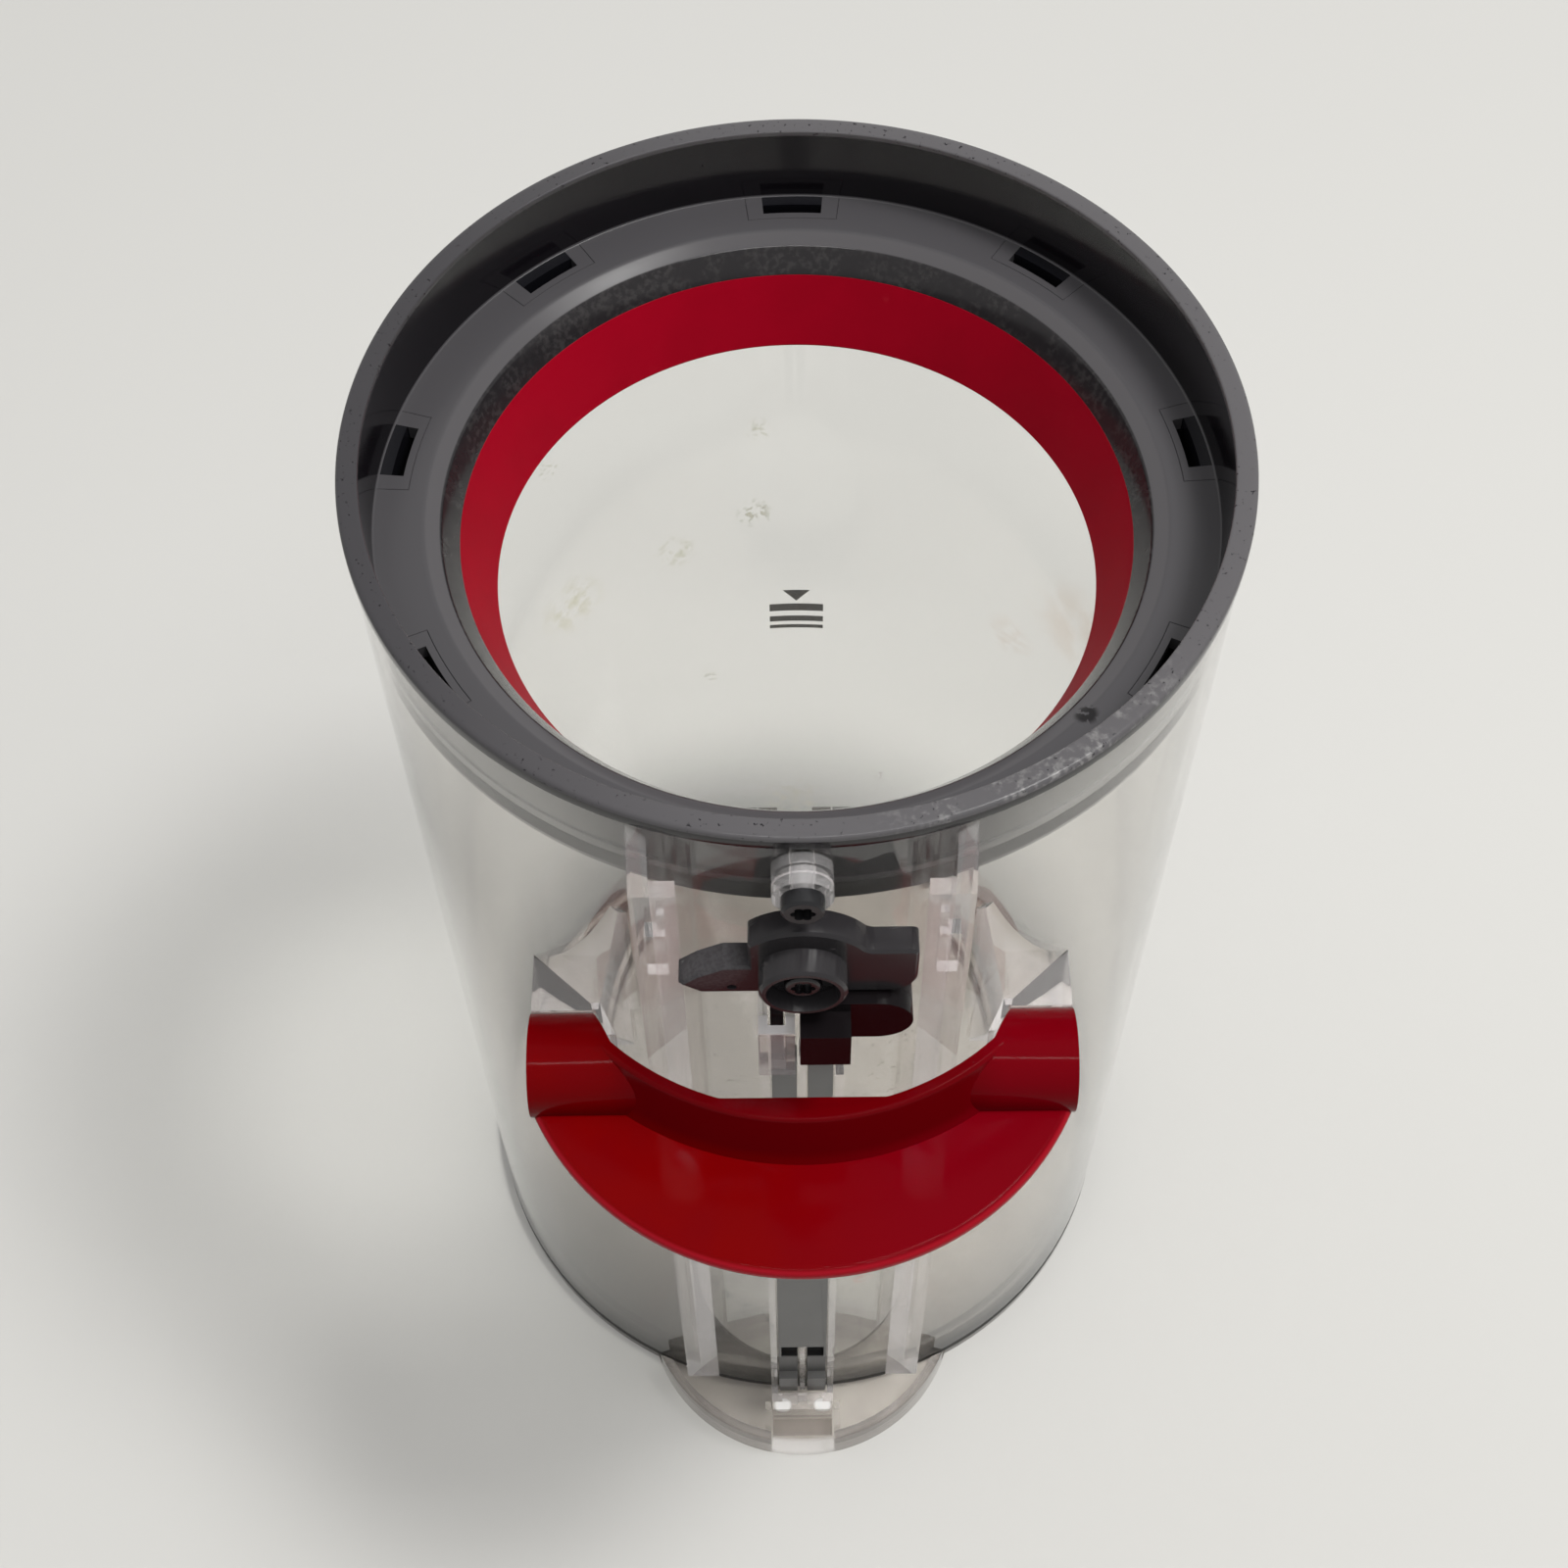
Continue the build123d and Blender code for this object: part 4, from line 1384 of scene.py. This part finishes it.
@dataclass
class Collar:
    """Dark ring on the tube's upper end: rim, socket, slotted ledge and throat.

    Sizes in millimetres, angles in degrees.
    """

    # Rim, and the socket inside it
    rim_r: float = 58.5
    rim_z: float = 203.0
    flange_z: float = 200.8
    socket_r: float = 55.6
    # Skirt, and the band under it whose two lips hold the seal in a groove
    skirt_r: float = 56.3
    lip_r: float = 56.6
    seat_r: float = 54.6
    band_in_r: float = 53.9
    lip_top_z: float = 191.7
    groove_z: Span = (187.1, 189.9)
    # Ledge, the chamfer from it to the throat, and the throat's wall
    ledge_z: float = 190.9
    under_z: float = 188.7
    ledge_in_r: float = 48.9
    throat_r: float = 46.7
    throat_z: float = 189.7
    foot_z: float = 186.3
    foot_r: float = 44.6
    root_r: float = 47.6
    # Slots in the ledge, and the fine line that frames each one
    slots: int = 9
    first: float = 90.0
    slot_r: Span = (52.2, 53.8)
    slot_half: float = 4.5
    frame_r: float = 51.2
    frame_half: float = 7.0
    line: float = 0.07
    line_depth: float = 0.14
    # How far back corners are cut, how close points are, and slack of tests on angle and height
    fine: float = 0.08
    rim_round: float = 0.8
    edge_round: float = 0.35
    inner_round: float = 0.3
    steps: int = 5
    turn_step: float = 1.0
    slack: float = 0.01
    flat: float = 0.02

    def outline(self) -> np.ndarray:
        """The closed outline, with extra points on the ledge where slots and lines cross it.

        Returns:
            Points (r, z), one per row.
        """
        fine, edge, inner = self.fine, self.edge_round, self.inner_round
        groove_low, groove_high = self.groove_z
        root = [(self.root_r, self.under_z, fine)]
        wall = [
            (self.band_in_r, self.under_z, fine),
            (self.band_in_r, self.foot_z, fine),
            (self.lip_r, self.foot_z, fine),
            (self.lip_r, groove_low, fine),
            (self.seat_r, groove_low, fine),
            (self.seat_r, groove_high, fine),
            (self.lip_r, groove_high, fine),
            (self.lip_r, self.lip_top_z, fine),
            (self.skirt_r, self.lip_top_z, fine),
            (self.skirt_r, self.flange_z, fine),
            (self.rim_r, self.flange_z, fine),
            (self.rim_r, self.rim_z, self.rim_round),
            (self.socket_r, self.rim_z, edge),
            (self.socket_r, self.ledge_z, inner),
        ]
        throat = [
            (self.ledge_in_r, self.ledge_z, edge),
            (self.throat_r, self.throat_z, inner),
            (self.foot_r, self.foot_z, fine),
            (self.root_r, self.foot_z, fine),
        ]
        corners = np.array(root + wall + throat)
        curve = rounded_outline(corners[:, :2], corners[:, 2], self.steps)
        low, high = self.slot_r
        under = np.array([(low, self.under_z), (high, self.under_z)])
        line = self.frame_r + self.line * np.array([1.0, 0.0, -1.0])
        across = np.concatenate([[high, low], line])
        top = np.stack([across, np.full(len(across), self.ledge_z)], axis=-1)
        at_under, at_top = len(root), len(root + wall)
        parts = (curve[:at_under], under, curve[at_under:at_top], top, curve[at_top:])
        return np.concatenate([part.reshape(-1, 2) for part in parts])

    def angles(self) -> np.ndarray:
        """An even round of angles, closer where slots and lines are.

        Returns:
            The angles, in order from the first slot's sector on.
        """
        pitch = 360.0 / self.slots
        even = np.arange(-pitch / 2, pitch / 2, self.turn_step)
        width = np.degrees(self.line / self.frame_r)
        line = self.frame_half + width * np.array([-1.0, 0.0, 1.0])
        ends = [self.slot_half, -self.slot_half]
        sector = np.unique(np.round(np.concatenate([even, line, -line, ends]), decimals=4))
        start = self.first + pitch * np.arange(self.slots)
        return (start[:, None] + sector[None, :]).ravel()

    def from_slot(self, angles: np.ndarray) -> np.ndarray:
        """How far each angle is from the middle of the nearest slot, in degrees."""
        pitch = 360.0 / self.slots
        return np.abs((angles - self.first + pitch / 2) % pitch - pitch / 2)

    def line_cut(self, r: np.ndarray, off: np.ndarray) -> np.ndarray:
        """Depth of the fine line round each slot: a V along a frame open at the wall.

        Args:
            r: Radius of each point.
            off: Its angle from the nearest slot's middle, in degrees.

        Returns:
            Depth in millimetres.
        """
        beside = np.radians(np.abs(off - self.frame_half)) * r
        side = np.where(r > self.frame_r - self.line, beside, self.line)
        inner = np.where(off < self.frame_half + self.slack, np.abs(r - self.frame_r), self.line)
        return self.line_depth * np.clip(1.0 - np.minimum(side, inner) / self.line, 0.0, 1.0)

    def slot_walls(self) -> np.ndarray:
        """Walls of the slots: the rim of each at the ledge's top and at its underside.

        Returns:
            Points of shape (slots, points round a rim, 2, 3).
        """
        turn = self.angles()
        turn = turn[self.from_slot(turn) < self.slot_half + self.slack].reshape(self.slots, -1)
        round_turn = np.radians(np.concatenate([turn, turn[:, ::-1]], axis=1))
        r = np.repeat(self.slot_r, turn.shape[1])[None, :]
        x, y = r * np.cos(round_turn), r * np.sin(round_turn)
        z = np.array([self.ledge_z, self.under_z])[None, None, :]
        flat = np.stack([x, y], axis=-1)[:, :, None, :].repeat(2, axis=2)
        return np.concatenate([flat, (z + 0.0 * x[:, :, None])[..., None]], axis=-1)

    def build(self, finish: Material) -> None:
        """Makes the ring with its slots cut through.

        Args:
            finish: Its material.
        """
        outline, turn = self.outline(), self.angles()
        points = turned_points(outline, turn)
        r, off = outline[None, :, 0], self.from_slot(turn)[:, None]
        inside = outline[:, 0] < self.socket_r - self.inner_round / 2
        on_ledge = np.isclose(outline[:, 1], self.ledge_z) & inside
        points[..., 2] -= np.where(on_ledge[None, :], self.line_cut(r, off), 0.0)
        quads = grid_quads(len(turn), len(outline), True, True)
        middle = points.reshape(-1, 3)[quads].mean(axis=1)
        mid_r = np.hypot(middle[:, 0], middle[:, 1])
        mid_off = self.from_slot(np.degrees(np.arctan2(middle[:, 1], middle[:, 0])))
        drop = np.abs(middle[:, 2:] - [self.ledge_z, self.under_z]).min(axis=1)
        in_slot = (mid_r > self.slot_r[0]) & (mid_r < self.slot_r[1]) & (mid_off < self.slot_half)
        cut = in_slot & (drop < self.flat)
        walls = self.slot_walls()
        count = walls.shape[1]
        wall_quads = grid_quads(count, 2, True, False)
        offsets = points.size // 3 + 2 * count * np.arange(self.slots)[:, None, None]
        faces = np.concatenate([quads[~cut], (wall_quads[None] + offsets).reshape(-1, 4)])
        every = np.concatenate([points.reshape(-1, 3), walls.reshape(-1, 3)])
        ring = add_piece("collar_ring", every, faces, finish, Body.BIN)
        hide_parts("top_collar")


@dataclass
class Wiper:
    """Red elastomer cone under the collar's throat, with its flange. Sizes in millimetres."""

    top_z: float = 186.3
    top_r: float = 44.6
    root_r: float = 54.5
    root_z: float = 184.9
    wall: float = 1.5
    tip_r: float = 40.7
    tip_z: float = 175.9
    rounding: tuple[float, ...] = (0.1, 0.25, 0.25, 0.25, 0.3, 0.15, 0.1)
    steps: int = 6
    turns: int = 288

    def build(self, finish: Material) -> None:
        """Turns the cone's outline about the axis.

        Args:
            finish: Its material.
        """
        lip = self.wall / 3
        corners = np.array(
            [
                (self.top_r, self.top_z),
                (self.tip_r, self.tip_z),
                (self.tip_r + lip, self.tip_z - lip),
                (self.tip_r + self.wall, self.tip_z - lip),
                (self.top_r + self.wall, self.root_z),
                (self.root_r, self.root_z),
                (self.root_r, self.top_z),
            ]
        )
        outline = rounded_outline(corners, np.array(self.rounding), self.steps).reshape(-1, 2)
        turn = np.linspace(0.0, 360.0, self.turns, endpoint=False)
        quads = grid_quads(self.turns, len(outline), True, True)
        cone = add_piece("wiper_cone", turned_points(outline, turn), quads, finish, Body.BIN)
        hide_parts("wiper_ring")


@dataclass
class FillMark:
    """Fill mark on the outside of the tube's far wall: three bars and a plain pointer.

    Sizes in millimetres.
    """

    wall_r: float = 58.2
    ink: float = 0.04
    left: float = -4.4
    right: float = 5.3
    bars: tuple[Span, ...] = ((86.2, 88.3), (83.0, 84.6), (80.9, 81.9))
    pointer_half: float = 2.4
    pointer: Span = (89.2, 92.4)
    pointer_edge: float = 0.05
    columns: int = 24

    def print_patch(
        self, name: str, x: np.ndarray, low: np.ndarray, high: np.ndarray, ink: Material
    ) -> None:
        """A thin layer of ink on the wall.

        At each x the layer is the rectangle from low to high between the wall and the ink's face,
        carried round the wall: (r sin a, r cos a, z), with x the wall's radius times sin a.

        Args:
            name: The piece's name.
            x: Places across the wall.
            low: Lower edge at each place.
            high: Upper edge at each place.
            ink: Its material.
        """
        turn = np.arcsin(x / self.wall_r)[:, None]
        r = self.wall_r + self.ink * np.array([0.0, 1.0, 1.0, 0.0])[None, :]
        z = np.stack([low, low, high, high], axis=-1)
        points = np.stack([r * np.sin(turn), r * np.cos(turn), z], axis=-1)
        sides = grid_quads(len(x), 4, False, True)
        ends = np.array([[0, 1, 2, 3], [3, 2, 1, 0]]) + np.array([[0], [4 * (len(x) - 1)]])
        add_piece(name, points, np.concatenate([sides, ends]), ink, Body.BIN)

    def build(self, ink: Material) -> None:
        """Prints the bars and the pointer above them.

        Args:
            ink: The material of the print.
        """
        x = np.linspace(self.left, self.right, self.columns)
        for number, (low, high) in enumerate(self.bars, start=1):
            self.print_patch(f"fill_bar_{number}", x, np.full_like(x, low), np.full_like(x, high), ink)
        middle = (self.left + self.right) / 2
        x = middle + self.pointer_half * np.linspace(-1.0, 1.0, self.columns + 1)
        low, high = self.pointer
        slope = (high - low - self.pointer_edge) * np.abs(x - middle) / self.pointer_half
        self.print_patch("fill_pointer", x, low + slope, np.full_like(x, high), ink)


@dataclass(frozen=True)
class Lamp:
    """A soft rectangular studio lamp. Sizes in metres."""

    name: str
    place: Point
    aim: Point
    size: Span
    power: float
    colour: Colour = (1.0, 1.0, 1.0)
    mirrored: bool = True

    def build(self) -> None:
        """Hangs the lamp and turns it to its aim."""
        light = bpy.data.lights.new(self.name, "AREA")
        light.shape = "RECTANGLE"
        light.size, light.size_y = self.size
        light.energy = self.power
        light.color = self.colour
        lamp = bpy.data.objects.new(self.name, light)
        bpy.context.scene.collection.objects.link(lamp)
        back = np.subtract(self.place, self.aim)
        back = back / np.linalg.norm(back)
        right = np.cross((0.0, 1.0, 0.0), back)
        right = right / np.linalg.norm(right)
        turn = Matrix(np.stack([right, np.cross(back, right), back], axis=1).tolist()).to_4x4()
        turn.translation = self.place
        lamp.matrix_world = turn
        lamp.visible_glossy = self.mirrored
        LOG.info("lamp %s", self.name)


@dataclass
class Studio:
    """Pale floor, soft light and the camera. Sizes in metres."""

    # Floor, with clouds whose width is in millimetres
    floor_half: float = 14.0
    floor_drop: float = 0.0003
    floor_colour: Colour = (0.585, 0.580, 0.562)
    floor_shade: Colour = (0.57, 0.565, 0.547)
    floor_cloud: float = 260.0
    floor_rough: float = 0.75
    floor_shine: float = 0.2
    # Sky, strongest overhead, and the backdrop that the far floor fades into
    pale: Colour = (1.0, 0.997, 0.985)
    sky_high: float = 0.68
    sky_low: float = 0.05
    sky_z: Span = (0.1, 0.85)
    backdrop: float = 0.64
    far_floor: Span = (0.5, 1.5)
    # Depth to sink the floor under an open lid, and the share of it that is left; nothing here sinks
    # the floor
    lift: float = 0.25
    lift_left: float = 0.01
    lamps: tuple[Lamp, ...] = (
        Lamp("key", (0.55, -0.07, 1.5), (0.0, 0.0, 0.1), (0.7, 0.7), 6.5, (1.0, 0.993, 0.975), False),
        Lamp("core", (0.55, -0.07, 1.5), (0.0, 0.0, 0.1), (0.3, 0.3), 11.5, (1.0, 0.993, 0.975)),
        Lamp("strip", (0.12, -0.62, 1.5), (0.0, -0.05, 0.15), (0.8, 0.06), 2.6),
        Lamp("fill", (-0.9, 0.4, 1.6), (0.0, 0.0, 0.1), (1.0, 1.0), 2.6, mirrored=False),
    )
    # Camera: image and focal length in pixels, angles in radians
    image: int = 1600
    focal_px: float = 2453.2
    sensor_mm: float = 36.0
    near: float = 0.01
    eye: Point = (-0.001838, -0.19719, 0.440094)
    yaw: float = -0.0012571
    pitch: float = 1.0182686
    roll: float = 0.0121514

    def build(self) -> None:
        """Lays the floor, hangs the lamps and sets the camera."""
        self.lay_floor()
        self.light_sky()
        for lamp in self.lamps:
            lamp.build()
        self.set_camera()

    def lay_floor(self) -> None:
        """A flat pale sheet under the bin, with a faint cloud in its colour.

        Far from the bin it is as pale as the backdrop.
        """
        recipe = Recipe("pale_floor")
        cloud = recipe.noise(self.floor_cloud)
        recipe.set(Base_Color=recipe.mix(cloud, self.floor_colour, self.floor_shade))
        recipe.set(Roughness=self.floor_rough, Specular_IOR_Level=self.floor_shine)
        glow = recipe.node("ShaderNodeEmission")
        recipe.feed(glow.inputs["Color"], self.pale)
        recipe.feed(glow.inputs["Strength"], self.backdrop)
        far = recipe.ramp(recipe.radius(), self.far_floor)
        recipe.show(recipe.times(far, recipe.seen()), glow.outputs["Emission"])
        side = np.array([-1.0, 1.0]) * self.floor_half
        x, y = np.meshgrid(side, side)
        points = np.stack([x, y, np.full_like(x, -self.floor_drop)], axis=-1).reshape(-1, 3)
        mesh = bpy.data.meshes.new("floor")
        mesh.from_pydata(points.tolist(), [], [(0, 1, 3, 2)])
        mesh.materials.append(recipe.material)
        floor = bpy.data.objects.new("floor", mesh)
        bpy.context.scene.collection.objects.link(floor)
        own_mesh(floor)
        LOG.info("floor: %.0f m wide", 2 * self.floor_half)

    def light_sky(self) -> None:
        """Pale light that is strong overhead and fades to the sides, before a plain pale backdrop."""
        world = bpy.data.worlds.new("studio")
        bpy.context.scene.world = world
        world.use_nodes = True
        sky = Nodes(world.node_tree)
        _, _, up = sky.split(sky.node("ShaderNodeTexCoord").outputs["Generated"])
        light = sky.ramp(up, self.sky_z, self.sky_low, self.sky_high)
        background = sky.tree.nodes["Background"]
        sky.feed(background.inputs["Color"], self.pale)
        sky.feed(background.inputs["Strength"], sky.blend(sky.seen(), light, self.backdrop))

    def set_camera(self) -> None:
        """Puts the camera where the photograph was taken from: yaw, pitch and roll about its eye."""
        camera = bpy.data.cameras.new("camera")
        camera.sensor_width = self.sensor_mm
        camera.lens = self.focal_px / self.image * self.sensor_mm
        camera.clip_start = self.near
        cos_p, sin_p = math.cos(self.pitch), math.sin(self.pitch)
        ahead = np.array([math.sin(self.yaw) * cos_p, math.cos(self.yaw) * cos_p, -sin_p])
        level = np.array([math.cos(self.yaw), -math.sin(self.yaw), 0.0])
        down = np.cross(ahead, level)
        right = math.cos(self.roll) * level + math.sin(self.roll) * down
        up = math.sin(self.roll) * level - math.cos(self.roll) * down
        turn = Matrix(np.stack([right, up, -ahead], axis=1).tolist()).to_4x4()
        turn.translation = self.eye
        eye = bpy.data.objects.new("camera", camera)
        eye.matrix_world = turn
        bpy.context.scene.collection.objects.link(eye)
        bpy.context.scene.camera = eye
        bpy.context.scene.view_settings.view_transform = "Standard"
        LOG.info("camera: %.1f mm lens", camera.lens)


def main() -> None:
    """Builds the bin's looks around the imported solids."""
    logging.basicConfig(level=logging.INFO, format="%(name)s: %(message)s")
    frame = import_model()
    Studio().build()
    rubber = BLACK_RUBBER.make()
    deep_steel, steel = DEEP_STEEL.make(), BARE_STEEL.make()
    dress(
        frame,
        {
            "bin_shell": CLEAR.make(),
            "base_lid": CLEAR_LID.make(),
            "lid_catch": CLEAR_CATCH.make(),
            "handle": RED_GLOSS.make(),
            "release_lever": LEVER_GREY.make(),
            "push_rod_head": HEAD_GREY.make(),
            "push_rod": ROD_GREY.make(),
            "collar_seal": rubber,
            "lid_seal": rubber,
            "inlet_flap": DUSTY_RUBBER.make(),
            "collar_screw": BLACK_STEEL.make(),
            "lever_screw": deep_steel,
            "lever_washer": deep_steel,
            "lever_spring": steel,
            "hinge_pin": steel,
            "hinge_spring": steel,
        },
    )
    soften(frame, {"release_lever": 0.3, "push_rod_head": 0.3, "push_rod": 0.12})
    Collar().build(COLLAR_GREY.make())
    Wiper().build(RED_RUBBER.make())
    FillMark().build(INK.make())


if __name__ == "__main__":
    main()
